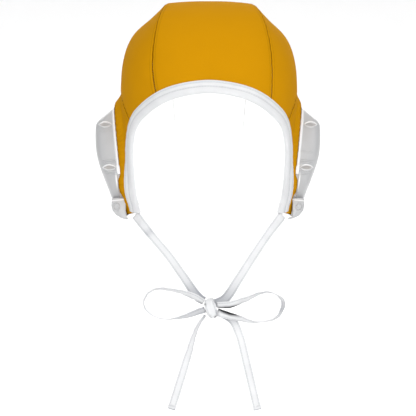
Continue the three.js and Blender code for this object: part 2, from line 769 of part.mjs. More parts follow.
function tieStretch(points, faceOn) {
  const route = new THREE.CatmullRomCurve3(points, false, "centripetal");
  const steps = Math.ceil(route.getLength() / TIE_STEP);
  const settings = { steps, extrudePath: route, bevelEnabled: false };
  return new THREE.ExtrudeGeometry(tapeSectionShape(faceOn), settings);
}

// A tie starts where the face tape ends at the ear tip, a seat's width into the fabric.
function tieStart(name) {
  const side = sides[name];
  const tip = faceEdge(side);
  const run = tip.clone().sub(faceEdge(side * (1 - EDGE_PROBE))).normalize();
  const inward = intoFabric(tip, run);
  return tip.addScaledVector(inward, TIE_SEAT).addScaledVector(run, TIE_START);
}

function vectors(points) {
  return points.map((point) => new THREE.Vector3(...point));
}

function bowKnot() {
  const core = new THREE.SphereGeometry(0.5, 14, 10);
  core.scale(KNOT_WIDTH, KNOT_DEPTH - 2 * TIE_THICKNESS, KNOT_HEIGHT - 2 * TIE_THICKNESS);
  const outline = new THREE.Shape();
  const half = (KNOT_HEIGHT - KNOT_DEPTH) / 2;
  outline.absarc(0, half, KNOT_DEPTH / 2, 0, Math.PI, false);
  outline.absarc(0, -half, KNOT_DEPTH / 2, Math.PI, 2 * Math.PI, false);
  const wrap = extruded(outline, TIE_WIDTH, 8);
  wrap.translate(0, 0, -TIE_WIDTH / 2);
  wrap.rotateX(Math.PI / 2);
  wrap.rotateZ(Math.PI / 2);
  return geometryOf(solidOf(core).add(solidOf(wrap)));
}

// Materials
const amber = { color: 0xd4940a, roughness: 0.8, metalness: 0 };
const white = { color: 0xf2f2f2, roughness: 0.85, metalness: 0 };
const plastic = { color: 0xe4e4e4, roughness: 0.3, metalness: 0 };

const cap = new THREE.Group();

function addPiece(name, geometry, look) {
  const piece = new THREE.Mesh(geometry, new THREE.MeshStandardMaterial(look));
  piece.name = name;
  cap.add(piece);
  return piece;
}

addPiece("centre_panel", centrePanel(), amber);
for (const name of ["left", "right"]) {
  addPiece(`side_panel_${name}`, sidePanel(name), amber);
  addPiece(`ear_panel_${name}`, earPanel(name), amber);
  const guard = addPiece(`ear_guard_${name}`, earGuard(sides[name]), plastic);
  guard.position.set(sides[name] * (seatOut[name] + GAP), GUARD_BACK, -GUARD_FALL);
  guard.rotation.set(0, Math.atan(SEAT_LEAN), sides[name] < 0 ? Math.PI : 0, "ZYX");
  const strap = [tieStart(name), ...vectors(STRAP_ROUTES[name])];
  addPiece(`tie_${name}_strap`, tieStretch(strap, true), white);
  addPiece(`tie_${name}_loop`, tieStretch(vectors(LOOP_ROUTES[name]), false), white);
  addPiece(`tie_${name}_tail`, tieStretch(vectors(TAIL_ROUTES[name]), true), white);
}
addPiece("face_binding", tape(faceEdge, -1, 1, TAPE_STEPS), white);
const tipCover = TIP_COVER / smoothSeam(edgePoints(lowerEdge, 0, 1, SIDE_STEPS)).getLength();
addPiece("nape_binding", tape(lowerEdge, tipCover - 1, 1 - tipCover, NAPE_TAPE_STEPS), white);
const knot = addPiece("bow_knot", bowKnot(), white);
knot.position.set(...KNOT_PLACE);
knot.rotation.set(0, KNOT_TILT, 0);

export default cap;
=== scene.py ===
"""A water polo cap in the form in which it is worn: amber knit, white tape, slotted ear guards and a
tied bow. Metres, +Z up, the face opening towards -Y, the origin at the inner top of the crown."""
import math

import bpy
import numpy as np
from mathutils import Matrix, Vector


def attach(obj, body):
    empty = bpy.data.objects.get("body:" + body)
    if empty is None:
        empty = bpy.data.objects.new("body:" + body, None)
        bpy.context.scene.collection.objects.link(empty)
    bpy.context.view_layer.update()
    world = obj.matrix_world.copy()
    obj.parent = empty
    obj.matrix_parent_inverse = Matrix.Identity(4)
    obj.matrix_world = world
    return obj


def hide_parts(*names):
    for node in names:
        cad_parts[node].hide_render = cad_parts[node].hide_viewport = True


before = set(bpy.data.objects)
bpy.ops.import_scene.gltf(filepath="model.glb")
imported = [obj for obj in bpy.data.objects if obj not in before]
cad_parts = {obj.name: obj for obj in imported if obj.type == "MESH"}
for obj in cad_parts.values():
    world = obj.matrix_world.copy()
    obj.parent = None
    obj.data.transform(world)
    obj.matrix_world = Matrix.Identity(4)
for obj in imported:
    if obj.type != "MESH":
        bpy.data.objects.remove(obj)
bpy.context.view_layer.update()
MM = 0.001

# The view
# The cap is seen from straight in front, level with the middle between its crown and the ends of
# its ties, from two metres away, so that both ears show the same small depth.
VIEW_HEIGHT = -0.1847
VIEW_DISTANCE = 2.0
VIEW_WIDTH = 0.3744
bpy.ops.object.camera_add(location=(-0.0009, -VIEW_DISTANCE, VIEW_HEIGHT), rotation=(math.pi / 2, 0, 0))
camera = bpy.context.object
camera.name = "front_camera"
camera.data.sensor_width = 36
camera.data.lens = 36 * VIEW_DISTANCE / VIEW_WIDTH
bpy.context.scene.camera = camera
bpy.context.scene.view_settings.view_transform = "Standard"


# The ties
# Each tie is the cap's own white tape, folded in half and sewn shut along both edges. It leaves the
# ear tip, runs to the knot under the chin, goes round one loop of the bow and hangs down to a hem.
TIE_WIDTH = 7.4
TIE_THICKNESS = 1.5
TIE_RING = 20
TIE_STEP = 1.1
STITCH_LENGTH = 2.3
# The ties' tape is a lighter copy of the bindings' white: painted light.
TIE_WHITE_LIT = (0.76, 0.765, 0.775, 1)
TAPE_SHADE = (0.36, 0.37, 0.40, 1)
TAPE_SHADOW = (0.02, 0.02, 0.022, 1)

# Points of each stretch in millimetres, the turn of the tape's face from the viewer in degrees,
# and its width as a share of the full width
TIES = {
    "tie_left_strap": [
        ((-65.64, -13.84, -190.73), -28, 1.28), ((-61.2, -17.2, -196.5), -20, 1.16),
        ((-52, -24, -208), 8, 1.0), ((-36.3, -32, -226.3), 6, 1.02), ((-24, -39, -243), -4, 1.04),
        ((-9.5, -46.8, -263), 6, 1.1), ((-4.5, -47.4, -266.3), 10, 0.95),
    ],
    "tie_right_strap": [
        ((65.64, -13.84, -190.73), 28, 1.28), ((61.2, -17.4, -196.5), 20, 1.16),
        ((52.5, -24.5, -208), -6, 1.0), ((38.1, -33, -229), -8, 1.04), ((26, -40, -247.5), 2, 1.08),
        ((13.5, -46.6, -265), -4, 1.14), ((5.2, -47.1, -268.4), -6, 0.95),
    ],
    "tie_left_loop": [
        ((-4.6, -53.9, -266.8), 34, 0.72), ((-14.5, -54.5, -261.5), 40, 0.98),
        ((-25.4, -55, -257.9), 62, 1.0), ((-43.8, -56, -255.2), 74, 1.0), ((-53.5, -56, -259.2), 80, 1.0),
        ((-57.2, -56, -268), 84, 1.0), ((-51.7, -56, -277.2), 90, 1.0), ((-36.2, -55.5, -282), 92, 1.0),
        ((-18.4, -54.5, -278.5), 126, 1.0), ((-3.8, -53.1, -273.6), 158, 0.85),
    ],
    "tie_right_loop": [
        ((7.1, -53.8, -269.8), -26, 0.8), ((18.5, -54.5, -269), -34, 1.0), ((31.8, -55, -264.6), -52, 1.0),
        ((43, -56, -259.8), -70, 1.0), ((55, -56, -258.6), -82, 1.0), ((64.6, -56, -267), -122, 1.0),
        ((60.5, -56, -279), -112, 1.0), ((45.2, -55.5, -284.5), -94, 1.0),
        ((27.6, -54.5, -281.6), -132, 1.0), ((7.4, -53.6, -276.2), -166, 1.0),
    ],
    "tie_left_tail": [
        ((-3.4, -50.6, -278.8), 62, 0.62), ((-10.5, -50, -289), 60, 0.86), ((-15, -49.5, -302), 48, 0.98),
        ((-21, -49.5, -322.3), 12, 1.0), ((-33.2, -49.5, -361.6), -8, 1.0),
    ],
    "tie_right_tail": [
        ((6.9, -45, -275.8), 8, 0.9), ((20, -45, -283), 4, 1.0), ((26.5, -45.5, -296), 6, 1.0),
        ((33.3, -47, -322.3), -4, 1.0), ((42.6, -48, -362.2), 6, 1.0),
    ],
}


def bell(value, middle, width):
    return math.exp(-(((value - middle) / width) ** 2))


# How grey each stretch looks (painted shade), and how dark its lower and its upper edge are where
# they tuck under the knot (painted shadow), from the run along it in millimetres, the same as a share,
# and the way to the knot
TIE_SHADES = {
    "tie_left_strap": lambda run, share, knot: (0.9 * bell(knot, 0, 19) + 0.4 * bell(run, 22, 4), 0, 0),
    "tie_right_strap": lambda run, share, knot: (0.75 * bell(knot, 0, 21), 0, 0),
    "tie_left_loop": lambda run, share, knot: (0.5 * bell(share, 1, 0.2), 1.5 * bell(run, 1, 3), 0),
    "tie_right_loop": lambda run, share, knot: (
        0.45 * bell(share, 0.52, 0.07), 2.2 * bell(run, 10, 9), 2.4 * bell(knot, 9, 8) * (share > 0.5)),
    "tie_left_tail": lambda run, share, knot: (0.35 * bell(run, 0, 5) + 0.75 * bell(share, 1, 0.012), 0, 0),
    "tie_right_tail": lambda run, share, knot: (0.5 * bell(run, 10, 9) + 0.75 * bell(share, 1, 0.012), 0, 0),
}


def smooth_line(points, count):
    """Points at even steps along a smooth curve through the given ones, and their place on it."""
    points = np.asarray(points, float)
    knots = np.concatenate([[0], np.cumsum(np.linalg.norm(np.diff(points, axis=0), axis=1) ** 0.5)])
    padded = np.vstack([2 * points[0] - points[1], points, 2 * points[-1] - points[-2]])
    outer = np.concatenate([[2 * knots[0] - knots[1]], knots, [2 * knots[-1] - knots[-2]]])
    fine = np.linspace(0, knots[-1], 40 * len(points))
    row = np.clip(np.searchsorted(knots, fine, side="right") - 1, 0, len(points) - 2)
    t = fine[:, None]
    p = [padded[row + n] for n in range(4)]
    k = [outer[row + n][:, None] for n in range(4)]
    a = [((k[n + 1] - t) * p[n] + (t - k[n]) * p[n + 1]) / (k[n + 1] - k[n]) for n in range(3)]
    b = [((k[n + 2] - t) * a[n] + (t - k[n]) * a[n + 1]) / (k[n + 2] - k[n]) for n in range(2)]
    curve = ((k[2] - t) * b[0] + (t - k[1]) * b[1]) / (k[2] - k[1])
    along = np.concatenate([[0], np.cumsum(np.linalg.norm(np.diff(curve, axis=0), axis=1))])
    even = np.linspace(0, along[-1], count)
    place = np.interp(even, along, fine)
    at = np.interp(place, knots, np.arange(len(points)))
    return np.stack([np.interp(even, along, curve[:, n]) for n in range(3)], axis=1), at


def unit(vectors):
    return vectors / np.maximum(np.linalg.norm(vectors, axis=-1, keepdims=True), 1e-12)


def face_out(piece):
    """Turns the faces of the active piece outwards."""
    bpy.ops.object.mode_set(mode="EDIT")
    bpy.ops.mesh.select_all(action="SELECT")
    bpy.ops.mesh.normals_make_consistent(inside=False)
    bpy.ops.object.mode_set(mode="OBJECT")
    return piece


def tube_faces(rings, size, closed=False):
    """The faces between rings of points, which a closed tube joins up and an open one caps."""
    faces = []
    for n in range(rings if closed else rings - 1):
        for k in range(size):
            j, m = (k + 1) % size, (n + 1) % rings
            faces.append((n * size + k, n * size + j, m * size + j, m * size + k))
    if not closed:
        faces.append(tuple(range(size)))
        faces.append(tuple((rings - 1) * size + k for k in range(size)))
    return faces


def mesh_piece(name, points, faces, material):
    """A piece made of points in millimetres, shaded smooth, with its faces pointing out."""
    mesh = bpy.data.meshes.new(name)
    mesh.from_pydata((np.asarray(points) * MM).tolist(), [], faces)
    mesh.update()
    piece = bpy.data.objects.new(name, mesh)
    bpy.context.scene.collection.objects.link(piece)
    bpy.ops.object.select_all(action="DESELECT")
    piece.select_set(True)
    bpy.context.view_layer.objects.active = piece
    face_out(piece)
    bpy.ops.object.shade_smooth()
    mesh.materials.append(material)
    return piece


def keep_vectors(piece, name, values):
    """Stores a vector for each vertex, which the piece's material reads."""
    attribute = piece.data.attributes.new(name, "FLOAT_VECTOR", "POINT")
    attribute.data.foreach_set("vector", np.asarray(values, np.float32).ravel())


class Term:
    """A socket in a finish's nodes, which Python's own signs work on."""

    def __init__(self, finish, socket):
        self.finish = finish
        self.socket = socket

    def _sum(self, operation, first, second=0.0):
        return self.finish.node("ShaderNodeMath", {"operation": operation}, {0: first, 1: second})

    def __add__(self, other):
        return self._sum("ADD", self, other)

    def __sub__(self, other):
        return self._sum("SUBTRACT", self, other)

    def __mul__(self, other):
        return self._sum("MULTIPLY", self, other)

    def __truediv__(self, other):
        return self._sum("DIVIDE", self, other)

    def __pow__(self, other):
        return self._sum("POWER", self, other)

    def __radd__(self, other):
        return self._sum("ADD", other, self)

    def __rsub__(self, other):
        return self._sum("SUBTRACT", other, self)

    def __abs__(self):
        return self._sum("ABSOLUTE", self)

    def of(self, operation, other=0.0):
        return self._sum(operation, self, other)


class Finish:
    """A material whose nodes are added one by one."""

    def __init__(self, name, constants):
        self.material = bpy.data.materials.new(name)
        self.material.use_nodes = True
        self.tree = self.material.node_tree
        self.shader = self.tree.nodes["Principled BSDF"]
        for socket, value in constants.items():
            self.shader.inputs[socket].default_value = value

    def node(self, kind, settings=None, sockets=None, output=0):
        node = self.tree.nodes.new(kind)
        for name, value in (settings or {}).items():
            setattr(node, name, value)
        for name, value in (sockets or {}).items():
            self.join(value, node.inputs[name])
        return Term(self, node.outputs[output])

    def join(self, value, socket):
        if isinstance(value, Term):
            self.tree.links.new(value.socket, socket)
        else:
            socket.default_value = value

    def feed(self, **sockets):
        for name, value in sockets.items():
            self.join(value, self.shader.inputs[name.replace("_", " ")])

    def vector(self, attribute):
        """The three numbers of a piece's own attribute."""
        read = self.node("ShaderNodeAttribute", {"attribute_name": attribute}, output=1)
        return [self.node("ShaderNodeSeparateXYZ", {}, {0: read}, output=n) for n in range(3)]

    def place(self):
        return self.node("ShaderNodeTexCoord", {}, output=3)

    def noise(self, vector, scale, detail=2.0, roughness=0.5):
        return self.node("ShaderNodeTexNoise", {}, {
            "Vector": vector, "Scale": scale, "Detail": detail, "Roughness": roughness})

    def mix(self, share, first, second):
        return self.node("ShaderNodeMix", {"data_type": "RGBA"}, {0: share, 6: first, 7: second}, output=2)

    def bump(self, height, strength, distance):
        return self.node("ShaderNodeBump", {}, {
            "Height": height, "Strength": strength, "Distance": distance})


def tape_finish(name, white):
    """White twill tape: fine ribs across it, two rows of stitches and a soft unevenness."""
    finish = Finish(name, {"Sheen Weight": 0.1, "Sheen Roughness": 0.5, "Specular IOR Level": 0.15})
    run, across, row = finish.vector("tape")
    ribs = (run * (2 * math.pi / 0.62)).of("SINE") * 0.5 + 0.5
    threads = (across * (2 * math.pi / 0.48)).of("SINE") * 0.5 + 0.5
    dash = ((run / STITCH_LENGTH).of("FRACT") - 0.5).of("ABSOLUTE")
    near = (1 - abs(row) / 0.42).of("MAXIMUM", 0.0)
    thread = near * (1 - dash * 2.2).of("MAXIMUM", 0.0) ** 0.5
    groove = (1 - abs(row) / 0.8).of("MAXIMUM", 0.0)
    soft = finish.noise(finish.place(), 95.0, 3.0)
    height = ribs * 0.16 + threads * 0.12 + thread * 0.9 - groove * 0.75 + soft * 0.35
    # The grooves at the stitch rows and the hollows between the ribs are darkened: painted shade.
    shade = groove * 0.6 - thread * 0.5 + (soft - 0.42) * 0.3 + (1 - ribs) * 0.08
    # The fold attribute carries painted shade, mixed toward the grey, and painted shadow, toward near black.
    shade_share, shadow_share, _ = finish.vector("fold")
    tone = finish.mix((shade + shade_share).of("MAXIMUM", 0.0).of("MINIMUM", 1.0), white, TAPE_SHADE)
    finish.feed(
        Base_Color=finish.mix(shadow_share, tone, TAPE_SHADOW),
        Roughness=0.8 + soft * 0.1,
        Normal=finish.bump(height, 0.7, 0.0004),
    )
    return finish.material


tie_tape = tape_finish("tie_tape", TIE_WHITE_LIT)


def tape_ring(width, thickness):
    """The closed outline of a folded tape: thin rounded edges, and a slight fullness between them."""
    angle = np.linspace(0, 2 * math.pi, TIE_RING, endpoint=False)
    wide = np.sign(np.cos(angle)) * np.abs(np.cos(angle)) ** 0.62
    deep = np.sign(np.sin(angle)) * np.abs(np.sin(angle)) ** 0.5
    fullness = 0.66 + 0.34 * (1 - wide ** 4)
    return wide * width / 2, deep * thickness / 2 * fullness


def tie_stretch(name, rows):
    """One stretch of a tie: the ring of the folded tape swept along its route."""
    route = [row[0] for row in rows]
    length = smooth_line(route, 400)[0]
    count = int(np.linalg.norm(np.diff(length, axis=0), axis=1).sum() / TIE_STEP)
    centres, at = smooth_line(route, count)
    turn = np.radians(np.interp(at, np.arange(len(rows)), [row[1] for row in rows]))
    share = np.interp(at, np.arange(len(rows)), [row[2] for row in rows])
    kernel = np.hanning(9) / np.hanning(9).sum()
    turn = np.convolve(np.pad(turn, 4, mode="edge"), kernel, mode="valid")
    share = np.convolve(np.pad(share, 4, mode="edge"), kernel, mode="valid")
    tangent = unit(np.gradient(centres, axis=0))
    flat = unit(np.cross(tangent, [0.0, -1.0, 0.0]))
    forward = unit(np.cross(flat, tangent))
    wide = flat * np.cos(turn)[:, None] + forward * np.sin(turn)[:, None]
    deep = unit(np.cross(tangent, wide))
    run = np.concatenate([[0], np.cumsum(np.linalg.norm(np.diff(centres, axis=0), axis=1))])
    wave = 0.18 * np.sin(run * 0.31 + len(name)) + 0.12 * np.sin(run * 0.83 + 2)
    centres_soft = centres + deep * wave[:, None]
    to_knot = run if "loop" not in name else np.minimum(run, run[-1] - run)
    to_knot = run[-1] - run if "strap" in name else to_knot
    points, tape, fold = [], [], []
    for n in range(count):
        a, b = tape_ring(TIE_WIDTH * share[n], TIE_THICKNESS * 0.78)
        points.append(centres_soft[n] + wide[n] * a[:, None] + deep[n] * b[:, None])
        edge = np.abs(a) - (TIE_WIDTH * share[n] / 2 - 1.25)
        tape.append(np.stack([np.full(TIE_RING, run[n]), a, edge], axis=1))
        # The grey share is painted shade, and the darkened edges under the knot are painted shadow.
        shaded, low, high = TIE_SHADES[name](run[n], run[n] / run[-1], to_knot[n])
        rise = a * wide[n][2] / 2.2
        dark_shadow = low * np.clip(-rise - 0.45, 0, 1) + high * np.clip(rise - 0.35, 0, 1)
        fold.append(np.stack([shaded + 0 * b, np.clip(dark_shadow, 0, 1), 0 * b], axis=1))
    piece = mesh_piece(name + "_tape", np.vstack(points), tube_faces(count, TIE_RING), tie_tape)
    keep_vectors(piece, "tape", np.vstack(tape))
    keep_vectors(piece, "fold", np.vstack(fold))
    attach(piece, "root")
    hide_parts(name)
    return piece, centres * MM, run[-1] * MM


tie_pieces = {}
for tie_name, tie_rows in TIES.items():
    tie_pieces[tie_name] = tie_stretch(tie_name, tie_rows)


# The hems of the two tails
# The end of each tail is turned back on itself and sewn across, so it stands up a little.
def tail_hem(name):
    piece, path, _ = tie_pieces[name]
    end = path[-1] / MM
    back = unit(path[-8] / MM - end)
    wide = unit(np.cross(back, [0.0, -1.0, 0.0]))
    centres = np.array([end + back * (0.1 + 0.55 * n) for n in range(9)])
    points, tape = [], []
    for n, centre in enumerate(centres):
        swell = 1.75 - 0.2 * abs(n - 4) / 4 if 0 < n < 8 else 1.45
        a, b = tape_ring(TIE_WIDTH * 1.01, swell)
        points.append(centre + wide * a[:, None] + np.array([0.0, -1.0, 0.0]) * b[:, None])
        tape.append(np.stack([np.full(TIE_RING, 0.55 * n), a, np.full(TIE_RING, 0.55 * n - 3.3)], axis=1))
    hem = mesh_piece(name + "_hem", np.vstack(points), tube_faces(len(centres), TIE_RING), tie_tape)
    # The two rows at the turned-back end are painted grey, the rest slightly: painted shade.
    shades = np.repeat([0.9 if n < 2 else 0.08 for n in range(len(centres))], TIE_RING)
    keep_vectors(hem, "fold", np.stack([shades, 0 * shades, 0 * shades], axis=1))
    keep_vectors(hem, "tape", np.vstack(tape))
    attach(hem, "root")
    return hem


tail_hems = {name: tail_hem(name) for name in ("tie_left_tail", "tie_right_tail")}


# The knot of the bow
# Both ties cross here. One strand is drawn round the others as a short band, from the upper left to
# the lower right, and the folded tape bulges between its edges.
KNOT_PLACE = (1.6, -52.0, -272.4)
KNOT_TILT = -0.25
KNOT_WIDTH = 10.6
KNOT_DEPTH = 13.0
KNOT_HEIGHT = 18.0


def smooth_step(value, low, high):
    t = np.clip((value - low) / (high - low), 0, 1)
    return t * t * (3 - 2 * t)


def knot_band():
    """The strand drawn round the knot, as one closed band of tape."""
    steps = 72
    angle = np.linspace(0, 2 * math.pi, steps, endpoint=False)
    deep = (KNOT_DEPTH / 2 - 0.75) * np.sign(np.cos(angle)) * np.abs(np.cos(angle)) ** 0.8
    high = (KNOT_HEIGHT / 2 - 0.75) * np.sign(np.sin(angle)) * np.abs(np.sin(angle)) ** 0.8
    centres = np.stack([0.45 * np.sin(2 * angle), deep, high], axis=1)
    tangent = unit(np.roll(centres, -1, axis=0) - np.roll(centres, 1, axis=0))
    wide = np.tile([1.0, 0.0, 0.0], (steps, 1)) + 0.16 * np.sin(angle)[:, None] * np.array([0, 0, 1.0])
    wide = unit(wide - tangent * (wide * tangent).sum(1, keepdims=True))
    out = unit(np.cross(tangent, wide))
    out *= np.sign((out * centres).sum(1, keepdims=True))
    points, tape = [], []
    for n in range(steps):
        share = 1.1 + 0.2 * math.cos(2 * angle[n])
        a, b = tape_ring(TIE_WIDTH * share, TIE_THICKNESS)
        cup = -0.75 * (a / (TIE_WIDTH * share / 2)) ** 2 + 0.35 * np.sin(a * 1.9 + angle[n])
        points.append(centres[n] + wide[n] * a[:, None] + out[n] * (b + cup)[:, None])
        edge = np.abs(a) - (TIE_WIDTH * share / 2 - 1.25)
        tape.append(np.stack([np.full(TIE_RING, n * 0.7), a, edge], axis=1))
    return np.vstack(points), np.vstack(tape), tube_faces(steps, TIE_RING, closed=True)


def knot_piece():
    points, tape, faces = knot_band()
    band = mesh_piece("bow_knot_band", points, faces, tie_tape)
    keep_vectors(band, "tape", tape)
    # Painted shadow in two spots where tape runs under the band, painted shade on its lower right.
    tuck_shadow = 0.8 * np.exp(-((np.hypot(points[:, 0] + 4.4, points[:, 2] - 4.6) / 1.1) ** 2))
    tuck_shadow += np.exp(-((np.hypot(points[:, 0] - 2.4, points[:, 2] + 9.0) / 1.3) ** 2))
    grey_shade = 0.5 * smooth_step(points[:, 0], 2.2, 4.2) * smooth_step(-points[:, 2], 0.5, 4)
    keep_vectors(band, "fold", np.stack([grey_shade, np.clip(tuck_shadow, 0, 1), 0 * tuck_shadow], axis=1))
    bpy.ops.object.select_all(action="DESELECT")
    bpy.ops.mesh.primitive_uv_sphere_add(segments=48, ring_count=28, radius=0.5)
    core = bpy.context.object
    core.name = "bow_knot_core"
    co = np.array([v.co for v in core.data.vertices])
    co *= [KNOT_WIDTH, KNOT_DEPTH - 2 * TIE_THICKNESS, KNOT_HEIGHT - 2 * TIE_THICKNESS]
    fold = 0.5 * np.sin(co[:, 2] * 1.35 + 0.25 * co[:, 0]) * np.abs(co[:, 0]) / 5
    co[:, 1] += fold * np.sign(co[:, 1])
    co[:, 0] += 0.35 * np.sin(co[:, 2] * 1.1)
    core.data.vertices.foreach_set("co", (co * MM).ravel())
    keep_vectors(core, "tape", np.stack([co[:, 2], co[:, 0], np.full(len(co), 3.0)], axis=1))
    # The core is painted grey all over (painted shade), with two darker spots of painted shadow.
    dark_shadow = np.exp(-((np.hypot(co[:, 0] + 4.2, co[:, 2] - 4.5) / 2.4) ** 2))
    dark_shadow += np.exp(-((np.hypot(co[:, 0] - 3.4, co[:, 2] + 6.5) / 2.2) ** 2))
    keep_vectors(core, "fold", np.stack([np.full(len(co), 0.35), dark_shadow, 0 * dark_shadow], axis=1))
    bpy.ops.object.shade_smooth()
    core.data.materials.append(tie_tape)
    place = Matrix.Translation(Vector(KNOT_PLACE) * MM) @ Matrix.Rotation(KNOT_TILT, 4, "Y")
    for piece in (band, core):
        piece.data.transform(place)
        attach(piece, "root")
        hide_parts("bow_knot")
    return [band, core]


knot_pieces = knot_piece()


# The centre panel
# Amber knit from the forehead over the crown to the nape. The crown is stretched flat between its
# two seams, where the panels are sewn edge to edge and the cloth puckers a little on the thread.
HALF_BREADTH = 79.2
FOREHEAD_REACH = 97.0
NAPE_REACH = 98.0
CROWN_RISE = 80.0
CHEEK_DROP = 270.0
MIDDLE_BACK = 5.0
BREADTH_POWER = 2.5
PROFILE_POWER = 2.15
FABRIC = 1.2
SEAM_RIDGE = 3.2
SEAM_DIP = 2.6
SEAM_RIDGE_FADE = 4.5
SEAM_DIP_SPAN = 38.0
SEAM_CLEARANCE = 0.02
FOREHEAD_FALL = 84.7
EAR_FALL = 189.0
NAPE_FALL = 162.0
SEAM_START = {"left": 0.289, "right": 0.372}
EAR_SEAM_START = 0.503
CROWN_SEAM_END = 0.83
EAR_SEAM_END = 0.66
GUARD_BACK = 8.0
GUARD_FALL = 136.0
GUARD_HALF_LENGTH = 34.0
GUARD_HALF_HEIGHT = 42.0
SEAT_OUT = {"left": 80.8, "right": 78.8}
SEAT_LEAN = 0.1
SEAT_MARGIN = 1.0
SEAT_FADE = 11.0
SIDES = {"left": -1, "right": 1}
MIDDLE = np.array([0.0, MIDDLE_BACK, FABRIC - CROWN_RISE])
NECKLINE = {
    "drop": (0.0, 0.098, 0.204, 0.293, 0.375, 0.449),
    "jaw": (1.0, 0.99, 0.93, 0.75, 0.46, 0.26),
    "nape": (1.0, 0.985, 0.93, 0.84, 0.74, 0.67),
}
FACE_EDGE = {
    "at": (-0.16, 0.0, 0.16, 0.285, 0.434, 0.503, 0.561, 0.642, 0.726, 0.783, 0.845, 0.911, 1.0),
    "breadth": (-0.332, 0.0, 0.332, 0.552, 0.757, 0.824, 0.852, 0.869, 0.862, 0.856, 0.845, 0.828, 0.79),
    "fall": (0.034, 0.0, 0.034, 0.1, 0.218, 0.294, 0.375, 0.5, 0.629, 0.712, 0.796, 0.881, 1.0),
}
NAPE_EDGE = {
    "at": (0.0, 0.14, 0.27, 0.39, 0.53, 0.72, 1.0, 1.28),
    "rise": (0.0, -0.06, 0.03, 0.2, 0.46, 0.8, 1.0, 0.8),
}
CROWN_SEAMS = {
    "turn": (-8, 0, 9, 21, 38, 60, 85, 130, 180, 222),
    "left": (0.56, 0.588, 0.621, 0.615, 0.572, 0.505, 0.457, 0.46, 0.44, 0.36),
    "right": (0.672, 0.684, 0.697, 0.684, 0.632, 0.545, 0.482, 0.475, 0.45, 0.36),
}
AMBER = (0.54, 0.246, 0.0024, 1)
AMBER_SHADOW = (0.085, 0.03, 0.0003, 1)
LINING = (0.93, 0.93, 0.93, 1)
LINING_SHADE = (0.86, 0.86, 0.86, 1)


def read_table(table, key, column, at):
    """A table's column at values of its key, on a smooth curve through the rows."""
    keys, values = np.asarray(table[key], float), np.asarray(table[column], float)
    last = len(keys) - 1
    place = np.clip(np.asarray(at, float), keys[0], keys[-1])
    row = np.searchsorted(keys[1:-1], place, side="left")
    ends = np.arange(last + 1)
    before, after = np.maximum(ends - 1, 0), np.minimum(ends + 1, last)
    slope = (values[after] - values[before]) / (keys[after] - keys[before])
    span = keys[row + 1] - keys[row]
    t = (place - keys[row]) / span
    rise = (values[row + 1] - values[row]) * t * t * (3 - 2 * t)
    leaving = slope[row] * span * t * (1 - t) ** 2
    arriving = slope[row + 1] * span * t * t * (1 - t)
    return values[row] + rise + leaving - arriving


def form_fill(points):
    """The head form: 1 on its face, less inside, drawn out behind the flat seat of each guard."""
    x, y, z = points[..., 0], points[..., 1] - MIDDLE[1], points[..., 2] - MIDDLE[2]
    drop = np.maximum(-z, 0) / CHEEK_DROP
    front = FOREHEAD_REACH * read_table(NECKLINE, "drop", "jaw", drop)
    back = NAPE_REACH * read_table(NECKLINE, "drop", "nape", drop)
    lengthwise = np.abs(y) / np.where(y < 0, front, back)
    upright = np.abs(z) / np.where(z > 0, CROWN_RISE, CHEEK_DROP)
    profile = (lengthwise ** PROFILE_POWER + upright ** PROFILE_POWER) ** (BREADTH_POWER / PROFILE_POWER)
    plain = HALF_BREADTH * np.maximum(1 - profile, 0) ** (1 / BREADTH_POWER)
    along = (points[..., 1] - GUARD_BACK) / (GUARD_HALF_LENGTH + SEAT_MARGIN)
    above = (points[..., 2] + GUARD_FALL) / (GUARD_HALF_HEIGHT + SEAT_MARGIN)
    beyond = (np.hypot(along, above) - 1) * (GUARD_HALF_LENGTH + GUARD_HALF_HEIGHT) / 2
    seat = np.where(x < 0, SEAT_OUT["left"], SEAT_OUT["right"]) + SEAT_LEAN * (points[..., 2] + GUARD_FALL)
    drawn = (1 - smooth_step(beyond, 0, SEAT_FADE)) * (seat - plain)
    return (np.maximum(np.abs(x) - drawn, 0) / HALF_BREADTH) ** BREADTH_POWER + profile


def reach_from(start, direction):
    """How far the form's face lies from points inside it."""
    near = np.zeros(direction.shape[:-1])
    far = np.full(direction.shape[:-1], CHEEK_DROP + FOREHEAD_REACH)
    for _ in range(30):
        half = (near + far) / 2
        inside = form_fill(start + direction * half[..., None]) < 1
        near, far = np.where(inside, half, near), np.where(inside, far, half)
    return (near + far) / 2


def seam_lift(direction, reach):
    """The crown stands up at its seams and dips beside them."""
    turn = np.degrees(np.arctan2(direction[..., 2], -direction[..., 1]))
    turn = np.where(turn < -90, turn + 360, turn)
    seam = HALF_BREADTH * np.where(
        direction[..., 0] < 0,
        read_table(CROWN_SEAMS, "turn", "left", turn), read_table(CROWN_SEAMS, "turn", "right", turn))
    aside = np.abs(direction[..., 0]) * reach
    upper = smooth_step(direction[..., 2], 0.15, 0.75)
    past = np.maximum(aside - seam, 0)
    dip = SEAM_DIP * np.sin(math.pi * np.minimum(past / SEAM_DIP_SPAN, 1)) ** 2
    inner = SEAM_RIDGE * (np.minimum(aside / seam, 1)) ** 2.6
    return upper * np.where(aside < seam, inner, SEAM_RIDGE * np.exp(-past / SEAM_RIDGE_FADE) - dip)


def on_head(guide):
    """The place on the cap's outer face in the direction of each guide point."""
    direction = unit(np.asarray(guide, float) - MIDDLE)
    plain = reach_from(MIDDLE, direction)
    return MIDDLE + direction * (plain + seam_lift(direction, plain))[..., None]


def head_normal(points):
    direction = unit(points - MIDDLE)
    level = np.where(np.abs(direction[..., 2:]) < 0.9, [0.0, 0.0, 1.0], [0.0, 1.0, 0.0])
    across = unit(np.cross(level, direction)) * 1.6
    upward = unit(np.cross(direction, across)) * 1.6
    first = on_head(points + across) - on_head(points - across)
    second = on_head(points + upward) - on_head(points - upward)
    return unit(np.cross(first, second))


